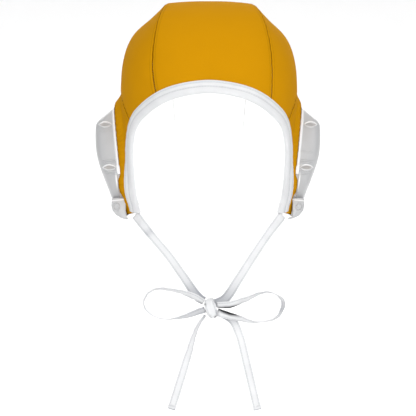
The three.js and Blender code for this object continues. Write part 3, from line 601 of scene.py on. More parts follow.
def face_edge(at):
    at = np.atleast_1d(np.asarray(at, float))
    fall = read_table(FACE_EDGE, "at", "fall", np.abs(at)) * (EAR_FALL - FOREHEAD_FALL) + FOREHEAD_FALL
    breadth = read_table(FACE_EDGE, "at", "breadth", np.abs(at)) * HALF_BREADTH * np.sign(at)
    start = np.stack([breadth, np.full_like(at, MIDDLE[1]), -fall], axis=1)
    forward = np.tile([0.0, -1.0, 0.0], (len(at), 1))
    start[:, 1] -= reach_from(start, forward)
    return on_head(start)


def round_head(turn, height, side):
    angle = np.radians(np.atleast_1d(turn))
    start = np.stack([0 * angle, 0 * angle + MIDDLE[1], 0 * angle + height], axis=1)
    direction = np.stack([np.sin(angle) * side, -np.cos(angle), 0 * angle], axis=1)
    return on_head(start + direction * reach_from(start, direction)[:, None])


def nape_edge(at, side):
    """The lower edge, from 0 at an ear tip to 1 at the middle of the nape."""
    at = np.atleast_1d(np.asarray(at, float))
    tip = face_edge(1.0)[0]
    tip_turn = math.degrees(math.atan2(abs(tip[0]), MIDDLE[1] - tip[1]))
    rise = read_table(NAPE_EDGE, "at", "rise", at) * (EAR_FALL - NAPE_FALL)
    return round_head(tip_turn + (180 - tip_turn) * at, rise + tip[2], side)


def lower_edge(at):
    at = np.atleast_1d(np.asarray(at, float))
    return nape_edge(1 - np.abs(at), np.where(at < 0, -1, 1))


def crown_seam(name, count):
    side = SIDES[name]
    turn = np.radians(np.array(CROWN_SEAMS["turn"][2:-1], float))
    share = np.array(CROWN_SEAMS[name][2:-1])
    start = np.stack([side * share * HALF_BREADTH, 0 * turn + MIDDLE[1], 0 * turn + MIDDLE[2]], axis=1)
    direction = np.stack([0 * turn, -np.cos(turn), np.sin(turn)], axis=1)
    inner = on_head(start + direction * reach_from(start, direction)[:, None])
    ends = face_edge(side * SEAM_START[name]), nape_edge(CROWN_SEAM_END, side)
    return on_head(smooth_line(np.vstack([ends[0], inner, ends[1]]), count)[0])


def head_patch(first, last, start, end):
    """A patch of the head between four lines of points that share their corners."""
    s = np.linspace(0, 1, len(first))[:, None, None]
    t = np.linspace(0, 1, len(start))[None, :, None]
    across = first[:, None] * (1 - t) + last[:, None] * t
    along = start[None] * (1 - s) + end[None] * s
    corners = (start[0] * (1 - t) + start[-1] * t) * (1 - s) + (end[0] * (1 - t) + end[-1] * t) * s
    return on_head(across + along - corners)


def step_lengths(grid, axis):
    step = np.linalg.norm(np.diff(grid, axis=axis), axis=-1)
    pad = [(1, 0), (0, 0)] if axis == 0 else [(0, 0), (1, 0)]
    return np.cumsum(np.pad(step, pad), axis=axis)


def knit_finish():
    """Amber knit: fine wales and courses, a seam's thread beside each sewn edge, a soft sheen."""
    finish = Finish("amber_fabric", {"Sheen Weight": 0.02, "Sheen Roughness": 0.45,
                                     "Sheen Tint": (1.0, 0.5, 0.02, 1), "Specular IOR Level": 0.01})
    along, across, seam = finish.vector("cloth")
    wale = (across * (2 * math.pi / 0.85)).of("SINE")
    course = (along * (2 * math.pi / 0.7)).of("SINE")
    groove = (1 - seam / 0.95).of("MAXIMUM", 0.0)
    # A band along each guard's outline is darkened: painted shadow of the guard.
    guard_shadow = finish.vector("contact_shadow")[0]
    dash = ((along / STITCH_LENGTH).of("FRACT") - 0.5).of("ABSOLUTE")
    stitched = (1 - abs(seam - 3.2) / 0.32).of("MAXIMUM", 0.0) * (1 - dash * 2.1).of("MAXIMUM", 0.0)
    channel = (1 - abs(seam - 3.2) / 0.75).of("MAXIMUM", 0.0)
    cloud = finish.noise(finish.place(), 22.0, 3.0)
    speck = finish.noise(finish.place(), 900.0, 2.0, 0.6)
    # The groove at each sewn edge and the stitch channel beside it are darkened: painted shade.
    shade = groove * 0.95 + channel * 0.3 - stitched * 0.25 + (cloud - 0.5) * 0.13 + (speck - 0.5) * 0.1
    height = wale * course * 0.2 + speck * 0.2 + cloud * 0.5 - channel * 0.5 + stitched * 0.7
    finish.feed(
        Base_Color=finish.mix((shade + guard_shadow).of("MAXIMUM", 0.0).of("MINIMUM", 1.0), AMBER, AMBER_SHADOW),
        Roughness=0.66 + speck * 0.12,
        Normal=finish.bump(height, 0.45, 0.00035),
    )
    return finish.material


def lining_finish():
    """The knit's undyed white inner side."""
    finish = Finish("fabric_inner_side", {"Specular IOR Level": 0.1})
    along, across, seam = finish.vector("cloth")
    knit = (across * (2 * math.pi / 0.85)).of("SINE") * (along * (2 * math.pi / 0.7)).of("SINE")
    allowance = (1 - abs(seam - 4.5) / 0.6).of("MAXIMUM", 0.0)
    cloud = finish.noise(finish.place(), 30.0, 3.0)
    finish.feed(
        Base_Color=finish.mix(allowance * 0.5 + cloud * 0.3, LINING, LINING_SHADE),
        Roughness=0.8 + cloud * 0.1,
        Normal=finish.bump(knit * 0.2 + cloud * 0.5 - allowance * 0.6, 0.5, 0.0004),
    )
    return finish.material


amber_fabric = knit_finish()
fabric_lining = lining_finish()


def cloth_piece(name, node, grid, cloth, contact_shadow=None):
    """A grid laid on the head and given the fabric's thickness inwards. One with a painted shadow
    along its guard is round and closed on itself."""
    rows, columns = grid.shape[:2]
    bpy.ops.object.select_all(action="DESELECT")
    bpy.ops.mesh.primitive_grid_add(x_subdivisions=rows - 1, y_subdivisions=columns - 1, size=1)
    piece = bpy.context.object
    piece.name = name
    flat = np.array([v.co for v in piece.data.vertices])
    row = np.rint((flat[:, 0] + 0.5) * (rows - 1)).astype(int)
    column = np.rint((flat[:, 1] + 0.5) * (columns - 1)).astype(int)
    co = grid[row, column] * MM
    piece.data.vertices.foreach_set("co", co.ravel())
    keep_vectors(piece, "cloth", cloth[row, column])
    closed = contact_shadow is not None
    if closed:
        keep_vectors(piece, "contact_shadow", np.stack([contact_shadow[row, column]] * 3, axis=-1))
    piece.data.update()
    normals = np.array([p.normal for p in piece.data.polygons])
    centres = np.array([p.center for p in piece.data.polygons])
    bpy.ops.object.mode_set(mode="EDIT")
    bpy.ops.mesh.select_all(action="SELECT")
    if closed:
        bpy.ops.mesh.remove_doubles(threshold=0.00001)
    if ((centres - MIDDLE * MM) * normals).sum() < 0:
        bpy.ops.mesh.flip_normals()
    bpy.ops.object.mode_set(mode="OBJECT")
    bpy.ops.object.shade_smooth()
    piece.data.materials.append(amber_fabric)
    piece.data.materials.append(fabric_lining)
    wall = piece.modifiers.new("wall", "SOLIDIFY")
    wall.thickness = FABRIC * MM
    wall.offset = -1
    wall.material_offset = 1
    wall.material_offset_rim = 1
    bpy.ops.object.modifier_apply(modifier="wall")
    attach(piece, "root")
    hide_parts(node)


def pucker(grid, cloth):
    """Rolls the sewn edges down and draws the cloth up beside them in short soft waves."""
    normal = unit(np.cross(np.gradient(grid, axis=0), np.gradient(grid, axis=1)))
    normal *= np.sign(((grid - MIDDLE) * normal).sum(-1, keepdims=True))
    along, _, seam = np.moveaxis(cloth, -1, 0)
    roll = -0.75 * np.exp(-((seam / 0.9) ** 2))
    wave = 0.16 * np.exp(-seam / 4.5) * np.sin(along * 0.86)
    wave += 0.12 * np.exp(-seam / 9) * np.sin(along * 0.41)
    return grid + normal * (roll + wave)[..., None]


def seam_panel(name, node, first, last, start, end):
    grid = head_patch(first, last, start, end)
    across = step_lengths(grid, 1)
    inward = unit(grid[:, 1] - grid[:, 0]), unit(grid[:, -2] - grid[:, -1])
    grid[:, 0] += inward[0] * SEAM_CLEARANCE
    grid[:, -1] += inward[1] * SEAM_CLEARANCE
    seam = np.minimum(across, across[:, -1:] - across)
    cloth = np.stack([step_lengths(grid, 0), across, seam], axis=-1)
    cloth_piece(name, node, pucker(grid, cloth), cloth)


SEAM_COUNT = 240
seam_panel(
    "centre_panel_cloth", "centre_panel", crown_seam("left", SEAM_COUNT), crown_seam("right", SEAM_COUNT),
    face_edge(np.linspace(-SEAM_START["left"], SEAM_START["right"], 110)),
    lower_edge(np.linspace(CROWN_SEAM_END - 1, 1 - CROWN_SEAM_END, 110)),
)


# The side panels
# Amber knit between the crown seam and the curved seam over the ear, one on each side.
EAR_SEAM = {
    "turn": (60, 75, 90, 105, 119, 131, 139, 143),
    "rise": (0.93, 1.21, 1.33, 1.33, 1.17, 0.86, 0.35, -0.3),
}


def ear_seam(name, count):
    side = SIDES[name]
    inner = [
        round_head(turn, rise * GUARD_HALF_HEIGHT - GUARD_FALL, side)
        for turn, rise in zip(EAR_SEAM["turn"], EAR_SEAM["rise"])
    ]
    ends = face_edge(side * EAR_SEAM_START), nape_edge(EAR_SEAM_END, side)
    return on_head(smooth_line(np.vstack([ends[0], *inner, ends[1]]), count)[0])


for side_name, side in SIDES.items():
    seam_panel(
        f"side_panel_{side_name}_cloth", f"side_panel_{side_name}",
        crown_seam(side_name, SEAM_COUNT), ear_seam(side_name, SEAM_COUNT),
        face_edge(side * np.linspace(SEAM_START[side_name], EAR_SEAM_START, 64)),
        nape_edge(np.linspace(CROWN_SEAM_END, EAR_SEAM_END, 64), side),
    )


# The ear panels
# Amber knit round each ear, cut away behind the guard so that the ear lies free, and gathered
# slightly where it is drawn over the guard's flat rim.
GUARD_OUTLINE_POWER = 2.2
EAR_HOLE_HALF_LENGTH = 22.0
EAR_HOLE_HALF_HEIGHT = 30.0


def oval_at(points, half_length, half_height, name):
    """Points of an oval round the guard's middle, at the angles of other points."""
    angle = np.arctan2(points[:, 2] + GUARD_FALL, points[:, 1] - GUARD_BACK)
    size = 1 / np.hypot(np.cos(angle) / half_length, np.sin(angle) / half_height)
    y = GUARD_BACK + size * np.cos(angle)
    z = size * np.sin(angle) - GUARD_FALL
    return np.stack([SIDES[name] * (SEAT_OUT[name] + SEAT_LEAN * (z + GUARD_FALL)), y, z], axis=1)


def guard_length(up):
    """Half the length of the guard's rim at a height over its middle."""
    inside = np.clip(1 - np.abs(up / GUARD_HALF_HEIGHT) ** GUARD_OUTLINE_POWER, 0.04, 1)
    return GUARD_HALF_LENGTH * inside ** (1 / GUARD_OUTLINE_POWER)


def ear_panel(name):
    side = SIDES[name]
    seam = ear_seam(name, 150)
    lower = nape_edge(np.linspace(EAR_SEAM_END, 0, 110), side)
    front = face_edge(side * np.linspace(1, EAR_SEAM_START, 90))
    border = np.vstack([seam, lower[1:], front[1:]])
    border[-1] = border[0]
    outline = oval_at(border, GUARD_HALF_LENGTH + SEAT_MARGIN, GUARD_HALF_HEIGHT + SEAT_MARGIN, name)
    hole = oval_at(border, EAR_HOLE_HALF_LENGTH, EAR_HOLE_HALF_HEIGHT, name)
    shares = 1 - (1 - np.linspace(0, 1, 20)) ** 1.25
    rings = [on_head(border * (1 - share) + outline * share) for share in shares]
    rings += [on_head(outline * (1 - share) + hole * share) for share in np.linspace(0, 1, 7)[1:]]
    grid = np.array(rings)
    grid[0] += unit(grid[1] - grid[0]) * SEAM_CLEARANCE
    away = step_lengths(grid, 0)
    along = np.tile(step_lengths(grid[:1], 1), (len(grid), 1))
    cloth = np.stack([along, away, away], axis=-1)
    grid = pucker(grid, cloth)
    gather = np.exp(-(((away - away[19:20]) + 5) / 5.0) ** 2) * 0.32 * np.sin(along * 0.62)
    rim_up = grid[..., 2] + GUARD_FALL
    rim_front = GUARD_BACK - guard_length(rim_up)
    swell = np.exp(-((grid[..., 1] - rim_front - 1.5) / 6.0) ** 2) * np.exp(-((rim_up + 29) / 8.5) ** 4)
    grid += unit(grid - MIDDLE) * gather[..., None] + np.array([side * 2.9, -0.5, 0.0]) * swell[..., None]
    grid[:, -1] = grid[:, 0]
    # Darker along the guard's outline: painted shadow of the guard on the cloth.
    contact_shadow = 0.9 * np.exp(-np.abs(away - away[19:20]) / 1.5)
    cloth_piece(f"ear_panel_{name}_cloth", f"ear_panel_{name}", grid, cloth, contact_shadow)


for side_name in SIDES:
    ear_panel(side_name)


# The bindings
# White tape folded over the raw edges of the cap and sewn through: one from ear tip to ear tip
# round the face, and one round the nape.
TIP_COVER = 16.0
# The folded tape's outline: away from the fabric's edge, and out from its outer face
TAPE_OUTLINE = [
    (9.85, 0.5), (9.95, 0.85), (9.8, 1.2), (9.4, 1.38), (8.7, 1.32), (8.1, 1.3), (7.4, 1.48), (6.2, 1.6),
    (5.3, 1.52), (4.7, 1.28), (4.1, 1.5), (3.0, 1.66), (1.6, 1.66), (0.5, 1.5), (-0.5, 1.15), (-1.2, 0.55),
    (-1.5, -0.2), (-1.5, -1.0), (-1.2, -1.75), (-0.5, -2.35), (0.5, -2.7), (2.5, -2.8), (4.7, -2.55),
    (6.8, -2.8), (8.6, -2.7), (9.6, -2.5), (9.8, -2.1), (9.6, -1.7), (6.0, -1.65), (2.0, -1.65),
    (-0.4, -1.6), (-0.5, -0.6), (-0.4, 0.4), (2.0, 0.45), (6.0, 0.45), (9.4, 0.4),
]
STITCH_ROWS = (8.4, 4.7)
TAPE_WHITE = (0.70, 0.705, 0.715, 1)
# The nape's binding is the same tape in a lighter white, to stay pale inside the cap: painted light.
NAPE_WHITE_LIT = (0.92, 0.92, 0.92, 1)
white_tape = tape_finish("white_tape", TAPE_WHITE)


def tape_band(name, node, edge, start, end, count, finish):
    at = np.linspace(start, end, count)
    middle = edge(at)
    run = edge(at + 0.004) - edge(at - 0.004)
    inward = unit(np.cross(head_normal(middle), run))
    inward *= np.where(inward[:, 2:] < 0, -1, 1)
    along = np.concatenate([[0], np.cumsum(np.linalg.norm(np.diff(middle, axis=0), axis=1))])
    outline = np.array(TAPE_OUTLINE)
    feet = middle[:, None] + inward[:, None] * outline[None, :, :1]
    feet = on_head(feet)
    lift = np.tile(outline[:, 1], (count, 1))
    outer = outline[:, 1] > 0.6
    lift += np.where(outer, 0.07 * np.sin(along[:, None] * 0.9 + outline[:, 0]), 0)
    points = feet + head_normal(feet) * lift[..., None]
    place = np.where(outline[:, 1] > -0.6, outline[:, 0], -outline[:, 0] - 3)
    row = np.min([np.abs(np.abs(outline[:, 0]) - r) for r in STITCH_ROWS], axis=0)
    size = len(outline)
    tape = np.stack([np.tile(along[:, None], (1, size)), np.tile(place, (count, 1)),
                     np.tile(row, (count, 1))], axis=-1)
    piece = mesh_piece(name, points.reshape(-1, 3), tube_faces(count, size), finish)
    keep_vectors(piece, "tape", tape.reshape(-1, 3))
    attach(piece, "root")
    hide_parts(node)


tape_band("face_binding_tape", "face_binding", face_edge, -1, 1, 420, white_tape)
lower_points = lower_edge(np.linspace(0, 1, 60))
tip_cover = TIP_COVER / np.linalg.norm(np.diff(lower_points, axis=0), axis=1).sum()
tape_band(
    "nape_binding_tape", "nape_binding", lower_edge, tip_cover - 1, 1 - tip_cover, 320,
    tape_finish("nape_tape_lit", NAPE_WHITE_LIT))


# The ear guards
# Moulded white plastic cups that keep the ears clear. Each has eye-shaped slots in its front wall,
# slits in its outer face, raised ribs round the lower slot and a lug below with a raised ring.
GUARD_DEPTH = 19.6
GUARD_WALL = 2.0
GUARD_GAP = 0.3
GUARD_DEPTHS = {
    "height": (-1.0, -0.9, -0.81, -0.66, -0.45, -0.3, -0.12, 0.1, 0.6, 0.71, 0.78, 0.85, 0.92, 1.0),
    "depth": (0.8, 0.7, 0.66, 0.71, 0.81, 0.88, 0.95, 1.0, 0.98, 0.95, 0.78, 0.56, 0.36, 0.22),
}
# Rings from the rim to the middle of the face, as shares of the outline and the depth
GUARD_RINGS = [
    (1.0, 0.0), (0.9995, 0.02), (0.998, 0.085), (0.9965, 0.115), (0.995, 0.14), (0.985, 0.38), (0.97, 0.56),
    (0.945, 0.69), (0.905, 0.8), (0.84, 0.88), (0.75, 0.94), (0.6, 0.98), (0.4, 1.01), (0.2, 1.02),
]
WALL_SLOTS = [(0.64, 0.45), (-0.28, 0.45)]
WALL_SLOT_LENGTH = 10.0
WALL_SLOT_HEIGHT = 3.6
FACE_SLOTS = (0.36, -0.04, -0.44)
FACE_SLOT_LENGTH = 26.0
FACE_SLOT_HEIGHT = 4.5
RIM_RELIEF = 3.0
RIM_RELIEF_SPAN = (-0.92, -0.45)
LUG_LENGTH = 18.0
LUG_FORWARD = 9.0
LUG_SECTION = [
    (0.5, -0.93), (0.56, -1.09), (0.52, -1.2), (0.36, -1.31), (0.1, -1.385), (-0.12, -1.42),
    (-0.12, -1.375), (0.21, -1.345), (0.19, -1.22), (0.12, -0.95),
]
# The middle of the raised ring on the lug, and how far the lug's front is drawn in on each side
LUG_EYE = (0.34, -1.12)
LUG_REACH = {1: 3.0, -1: 5.5}
# Ribs above and below the lower slot: distance from the slot's middle and height
BLOCK_RIBS = [
    (0.0, 0.3), (3.4, 0.3), (3.7, 0.95), (4.5, 0.95), (4.8, 0.35), (5.4, 0.35), (5.7, 0.8), (6.3, 0.8),
    (6.7, 0.0), (90.0, 0.0),
]
MOULD_LINE = {"left": 20.2, "right": 2.1}
PLASTIC = (0.475, 0.478, 0.485, 1)
PLASTIC_DEEP = (0.37, 0.375, 0.385, 1)
PLASTIC_HIGHLIGHT = (0.88, 0.885, 0.89, 1)


def guard_finish():
    """Slightly milky white plastic, with flow marks and fine scratches."""
    finish = Finish("guard_plastic", {"Coat Weight": 0.25, "Coat Roughness": 0.22, "IOR": 1.46,
                                      "Emission Strength": 0.22})
    place = finish.place()
    flow = finish.noise(place, 26.0, 4.0, 0.55)
    scratch = finish.noise(finish.node("ShaderNodeMapping", {}, {
        "Vector": place, "Scale": (1400.0, 1400.0, 90.0)}), 1.0, 3.0, 0.7)
    pit = finish.noise(place, 1500.0, 2.0)
    out, up, lip = finish.vector("guard")
    inner = finish.vector("guard_glow")[0]
    # The rim's edge, the relief's edge, the foot and the slots' lips are lightened: painted highlights.
    rim_highlight = (1 - abs(out - 0.8) / 1.7).of("MAXIMUM", 0.0) ** 0.5 * (up + 18.5).of("GREATER_THAN", 0.0)
    relief = (1 - abs(out - 3.5) / 1.1).of("MAXIMUM", 0.0) ** 0.5
    relief = relief * (1 - abs(up + 24.0) / 9.0).of("MAXIMUM", 0.0)
    foot_highlight = (1 - abs(up + 41.4) / 0.8).of("MAXIMUM", 0.0)
    pale = (rim_highlight + relief * 1.4 + foot_highlight * 0.8 + lip).of("MINIMUM", 1.0)
    wall = finish.mix(flow * 0.5 + (scratch - 0.5) * 0.3, PLASTIC, PLASTIC_DEEP)
    finish.feed(
        Base_Color=finish.mix(pale, wall, PLASTIC_HIGHLIGHT),
        Roughness=0.27 + scratch * 0.16 + flow * 0.08,
        # Faces that look into the cup are given a glow with the emission: painted light.
        Emission_Color=finish.mix(inner, (0, 0, 0, 1), (1, 1, 1, 1)),
        Normal=finish.bump(scratch * 0.25 + flow * 0.6 + pit * 0.1, 0.22, 0.0003),
    )
    return finish.material


guard_plastic = guard_finish()


def guard_depth(up):
    return GUARD_DEPTH * read_table(GUARD_DEPTHS, "height", "depth", up / GUARD_HALF_HEIGHT)


def guard_wall(out, up):
    """Half the cup's length at a place on its side wall."""
    rises, outlines = [row[1] for row in GUARD_RINGS], [row[0] for row in GUARD_RINGS]
    outline = np.interp(out / guard_depth(up), rises, outlines)
    inside = np.maximum(1 - np.abs(up / (GUARD_HALF_HEIGHT * outline)) ** GUARD_OUTLINE_POWER, 0)
    return GUARD_HALF_LENGTH * outline * inside ** (1 / GUARD_OUTLINE_POWER)


def alone(piece):
    bpy.ops.object.select_all(action="DESELECT")
    piece.select_set(True)
    bpy.context.view_layer.objects.active = piece


def apply_modifier(piece, kind, **settings):
    alone(piece)
    modifier = piece.modifiers.new(kind.lower(), kind)
    for name, value in settings.items():
        setattr(modifier, name, value)
    bpy.ops.object.modifier_apply(modifier=modifier.name)


def combine(piece, other, operation):
    apply_modifier(piece, "BOOLEAN", operation=operation, object=other, solver="EXACT")
    bpy.data.objects.remove(other)


def move_points(piece, change):
    co = np.array([v.co for v in piece.data.vertices]) / MM
    piece.data.vertices.foreach_set("co", (change(co) * MM).ravel())
    piece.data.update()


def guard_shell():
    """The cup's outer skin: a ring drawn out step by step, then closed at the middle of the face."""
    bpy.ops.object.select_all(action="DESELECT")
    bpy.ops.mesh.primitive_circle_add(vertices=112, radius=MM, rotation=(0, math.pi / 2, 0))
    shell = bpy.context.object
    bpy.ops.object.transform_apply(location=False, rotation=True, scale=False)
    bpy.ops.object.mode_set(mode="EDIT")
    bpy.ops.mesh.select_all(action="SELECT")
    before = GUARD_RINGS[0]
    for row in GUARD_RINGS[1:]:
        step = (row[1] - before[1]) * MM
        bpy.ops.mesh.extrude_edges_move(TRANSFORM_OT_translate={"value": (step, 0, 0)})
        size = row[0] / before[0]
        bpy.ops.transform.resize(value=(1, size, size), center_override=(row[1] * MM, 0, 0))
        before = row
    bpy.ops.mesh.extrude_edges_move(TRANSFORM_OT_translate={"value": (0, 0, 0)})
    bpy.ops.mesh.merge(type="CENTER")
    bpy.ops.object.mode_set(mode="OBJECT")

    def fit(co):
        size, angle = np.hypot(co[:, 1], co[:, 2]), np.arctan2(co[:, 2], co[:, 1])
        power = 2 / GUARD_OUTLINE_POWER
        back = GUARD_HALF_LENGTH * size * np.sign(np.cos(angle)) * np.abs(np.cos(angle)) ** power
        up = GUARD_HALF_HEIGHT * size * np.sign(np.sin(angle)) * np.abs(np.sin(angle)) ** power
        return np.stack([co[:, 0] * guard_depth(up), back, up], axis=1)

    move_points(shell, fit)
    face_out(shell)
    highest = max(shell.data.polygons, key=lambda face: face.center.x)
    if highest.normal.x < 0:
        bpy.ops.object.mode_set(mode="EDIT")
        bpy.ops.mesh.flip_normals()
        bpy.ops.object.mode_set(mode="OBJECT")
    apply_modifier(shell, "SUBSURF", levels=1, render_levels=1)
    return shell


def raise_ribs(shell, name):
    """Gives the skin its wall, and draws out the rim's lip, the lower slot's ribs and a mould line."""
    up = WALL_SLOTS[1][0] * GUARD_HALF_HEIGHT
    cuts = [up + way * row[0] for row in BLOCK_RIBS[1:-1] for way in (-1, 1)]
    cuts += [MOULD_LINE[name] + way for way in (-0.45, 0.0, 0.45)]
    for cut in cuts:
        alone(shell)
        bpy.ops.object.mode_set(mode="EDIT")
        bpy.ops.mesh.select_all(action="SELECT")
        bpy.ops.mesh.bisect(plane_co=(0, 0, cut * MM), plane_no=(0, 0, 1))
        bpy.ops.mesh.select_all(action="SELECT")
        bpy.ops.mesh.remove_doubles(threshold=0.04 * MM)
        bpy.ops.object.mode_set(mode="OBJECT")
    skin = len(shell.data.vertices)
    apply_modifier(shell, "SOLIDIFY", thickness=GUARD_WALL * MM, offset=-1, use_even_offset=True)

    def lift(co):
        away = np.abs(co[:, 2] - up)
        height = np.interp(away, [row[0] for row in BLOCK_RIBS], [row[1] for row in BLOCK_RIBS])
        height = height + 0.4 * np.clip(1 - np.abs(co[:, 2] - MOULD_LINE[name]) / 0.45, 0, 1)
        wall = smooth_step(np.abs(co[:, 1]), 19, 23) * smooth_step(co[:, 0], 2.1, 2.8)
        wall *= 1 - smooth_step(co[:, 0] / GUARD_DEPTH, 0.66, 0.76)
        lip = np.interp(co[:, 0], (0.0, 0.3, 1.5, 2.0), (0.45, 0.75, 0.75, 0.0))
        lip *= co[:, 2] > RIM_RELIEF_SPAN[1] * GUARD_HALF_HEIGHT
        outward = unit(co * [0.0, 1.0, 1.0])
        outer = (np.arange(len(co)) < skin)[:, None]
        ribs = np.stack([0 * away, np.sign(co[:, 1]) * height * wall, 0 * away], axis=1)
        return co + outer * (ribs + outward * lip[:, None])

    move_points(shell, lift)


def eye_ring(angle, length, height):
    """The outline of an eye: two bows that meet in soft corners."""
    out = length / 2 * np.cos(angle)
    up = height / 2 * np.sin(angle) * (1 - 0.55 * np.cos(angle) ** 2)
    return out, up


def slot_cutter(out, up, front):
    """A bar with the slot's outline, which cuts the cup's front wall alone."""
    bpy.ops.object.select_all(action="DESELECT")
    bpy.ops.mesh.primitive_cylinder_add(
        vertices=40, radius=MM, depth=2 * GUARD_HALF_LENGTH * MM, rotation=(math.pi / 2, 0, 0))
    cutter = bpy.context.object
    bpy.ops.object.transform_apply(location=False, rotation=True, scale=False)
    place = front * (GUARD_HALF_LENGTH + GUARD_WALL)

    def fit(co):
        angle = np.arctan2(co[:, 2], co[:, 0])
        ring = eye_ring(angle, WALL_SLOT_LENGTH, WALL_SLOT_HEIGHT)
        return np.stack([out + ring[0], co[:, 1] + place, up + ring[1] + 0.09 * ring[0]], axis=1)

    move_points(cutter, fit)
    return cutter


def slot_lip(out, up, front):
    """The thick rounded lip of a slot on the cup's front or back wall."""
    bpy.ops.object.select_all(action="DESELECT")
    bpy.ops.mesh.primitive_torus_add(
        major_segments=56, minor_segments=14, major_radius=2 * MM, minor_radius=MM)
    lip = bpy.context.object

    def fit(co):
        angle = np.arctan2(co[:, 1], co[:, 0])
        across = np.hypot(co[:, 0], co[:, 1]) - 2
        length, height = WALL_SLOT_LENGTH + 1.3, WALL_SLOT_HEIGHT + 1.2
        ring = eye_ring(angle, length + 1.3 * across, height + 1.5 * across)
        high = up + ring[1] + 0.09 * ring[0]
        base = guard_wall(out + ring[0], high)
        return np.stack([out + ring[0], front * (base + 0.35 + 0.65 * co[:, 2]), high], axis=1)

    move_points(lip, fit)
    return face_out(lip)


def face_cutter(up):
    bpy.ops.object.select_all(action="DESELECT")
    bpy.ops.mesh.primitive_cylinder_add(
        vertices=36, radius=MM, depth=GUARD_DEPTH * MM, rotation=(0, math.pi / 2, 0))
    cutter = bpy.context.object
    bpy.ops.object.transform_apply(location=False, rotation=True, scale=False)
    half = (FACE_SLOT_LENGTH - FACE_SLOT_HEIGHT) / 2

    def fit(co):
        back = co[:, 1] * FACE_SLOT_HEIGHT / 2 + np.sign(np.round(co[:, 1], 6)) * half
        return np.stack([co[:, 0] + GUARD_DEPTH, back, up + co[:, 2] * FACE_SLOT_HEIGHT / 2], axis=1)

    move_points(cutter, fit)
    return cutter


def block(low, high):
    """A plain box, which cuts a space out of a piece."""
    low, high = np.array(low), np.array(high)
    bpy.ops.object.select_all(action="DESELECT")
    bpy.ops.mesh.primitive_cube_add(size=MM)
    cutter = bpy.context.object
    move_points(cutter, lambda co: (low + high) / 2 + co * (high - low))
    return cutter


def guard_lug(side):
    """The lug under the cup: a bent block, drawn in at its front to meet the tape."""
    bpy.ops.object.select_all(action="DESELECT")
    bpy.ops.mesh.primitive_circle_add(vertices=len(LUG_SECTION), radius=MM, fill_type="NGON")
    lug = bpy.context.object
    start = -LUG_LENGTH / 2 - side * LUG_FORWARD
    section = np.array([(out * GUARD_DEPTH, start, up * GUARD_HALF_HEIGHT) for out, up in LUG_SECTION])
    lug.data.vertices.foreach_set("co", (section * MM).ravel())
    bpy.ops.object.mode_set(mode="EDIT")
    bpy.ops.mesh.select_all(action="SELECT")
    bpy.ops.mesh.extrude_region_move(TRANSFORM_OT_translate={"value": (0, LUG_LENGTH * MM, 0)})
    bpy.ops.object.mode_set(mode="OBJECT")
    face_out(lug)

    def reach_in(co):
        front = (co[:, 1] * side < -LUG_LENGTH / 2) & (co[:, 0] < 0.22 * GUARD_DEPTH) & (co[:, 2] > -57)
        return co - front[:, None] * np.array([LUG_REACH[side], 0.0, 0.0])

    move_points(lug, reach_in)
    apply_modifier(lug, "BEVEL", width=0.7 * MM, segments=3, limit_method="ANGLE", angle_limit=0.6)
    return lug


def lug_ring(side):
    """The raised oval ring on the front of the lug."""
    bpy.ops.object.select_all(action="DESELECT")
    bpy.ops.mesh.primitive_torus_add(
        major_segments=48, minor_segments=12, major_radius=2 * MM, minor_radius=MM)
    ring = bpy.context.object

    def fit(co):
        angle, across = np.arctan2(co[:, 1], co[:, 0]), np.hypot(co[:, 0], co[:, 1]) - 2
        out = LUG_EYE[0] * GUARD_DEPTH + np.cos(angle) * (2.7 + 0.75 * across)
        up = LUG_EYE[1] * GUARD_HALF_HEIGHT + np.sin(angle) * (3.2 + 0.75 * across)
        front = -side * (LUG_LENGTH / 2 + LUG_FORWARD + 0.75 * co[:, 2])
        return np.stack([out, front, up], axis=1)

    move_points(ring, fit)
    return face_out(ring)


def guard_marks(guard):
    """For each point its place out from the seat and up, and its painted highlight on a slot's lip."""
    co = np.array([v.co for v in guard.data.vertices]) / MM
    lip = np.zeros(len(co))
    for share, out in WALL_SLOTS:
        away = co[:, [0, 2]] - [out * GUARD_DEPTH, share * GUARD_HALF_HEIGHT]
        size = np.hypot(away[:, 0] / (WALL_SLOT_LENGTH / 2 + 1.6), away[:, 1] / (WALL_SLOT_HEIGHT / 2 + 1.4))
        proud = np.abs(co[:, 1]) - guard_wall(co[:, 0], co[:, 2])
        highlight_above = 0.35 + 0.4 * (away[:, 1] > 0)
        lip = np.maximum(lip, (size < 1.12) * smooth_step(proud, 0.15, 0.6) * highlight_above)
    return np.stack([co[:, 0], co[:, 2], lip], axis=1)


def glow_faces(guard):
    """1 on the faces that look into the cup, which the plastic's emission makes glow: painted light."""
    co = np.array([v.co for v in guard.data.vertices]) / MM
    normal = np.array([v.normal for v in guard.data.vertices])
    toward = unit(np.array([0.25 * GUARD_DEPTH, 0, 0]) - co * [1, 1, 0.9])
    inside = smooth_step((normal * toward).sum(1), 0.1, 0.6) * (co[:, 2] > -40)
    return np.stack([inside] * 3, axis=1)


def rim_nub(front):
    """The small rounded nub in which the rim's lip ends."""
    bpy.ops.object.select_all(action="DESELECT")
    bpy.ops.mesh.primitive_cube_add(size=MM)
    nub = bpy.context.object
    up = RIM_RELIEF_SPAN[1] * GUARD_HALF_HEIGHT
    middle = np.array([0.4, front * guard_wall(2.0, up + 4.5), up + 4.4])
    move_points(nub, lambda co: middle + co * np.array([4.6, 2.6, 8.6]))
    apply_modifier(nub, "BEVEL", width=0.9 * MM, segments=4)
    return nub


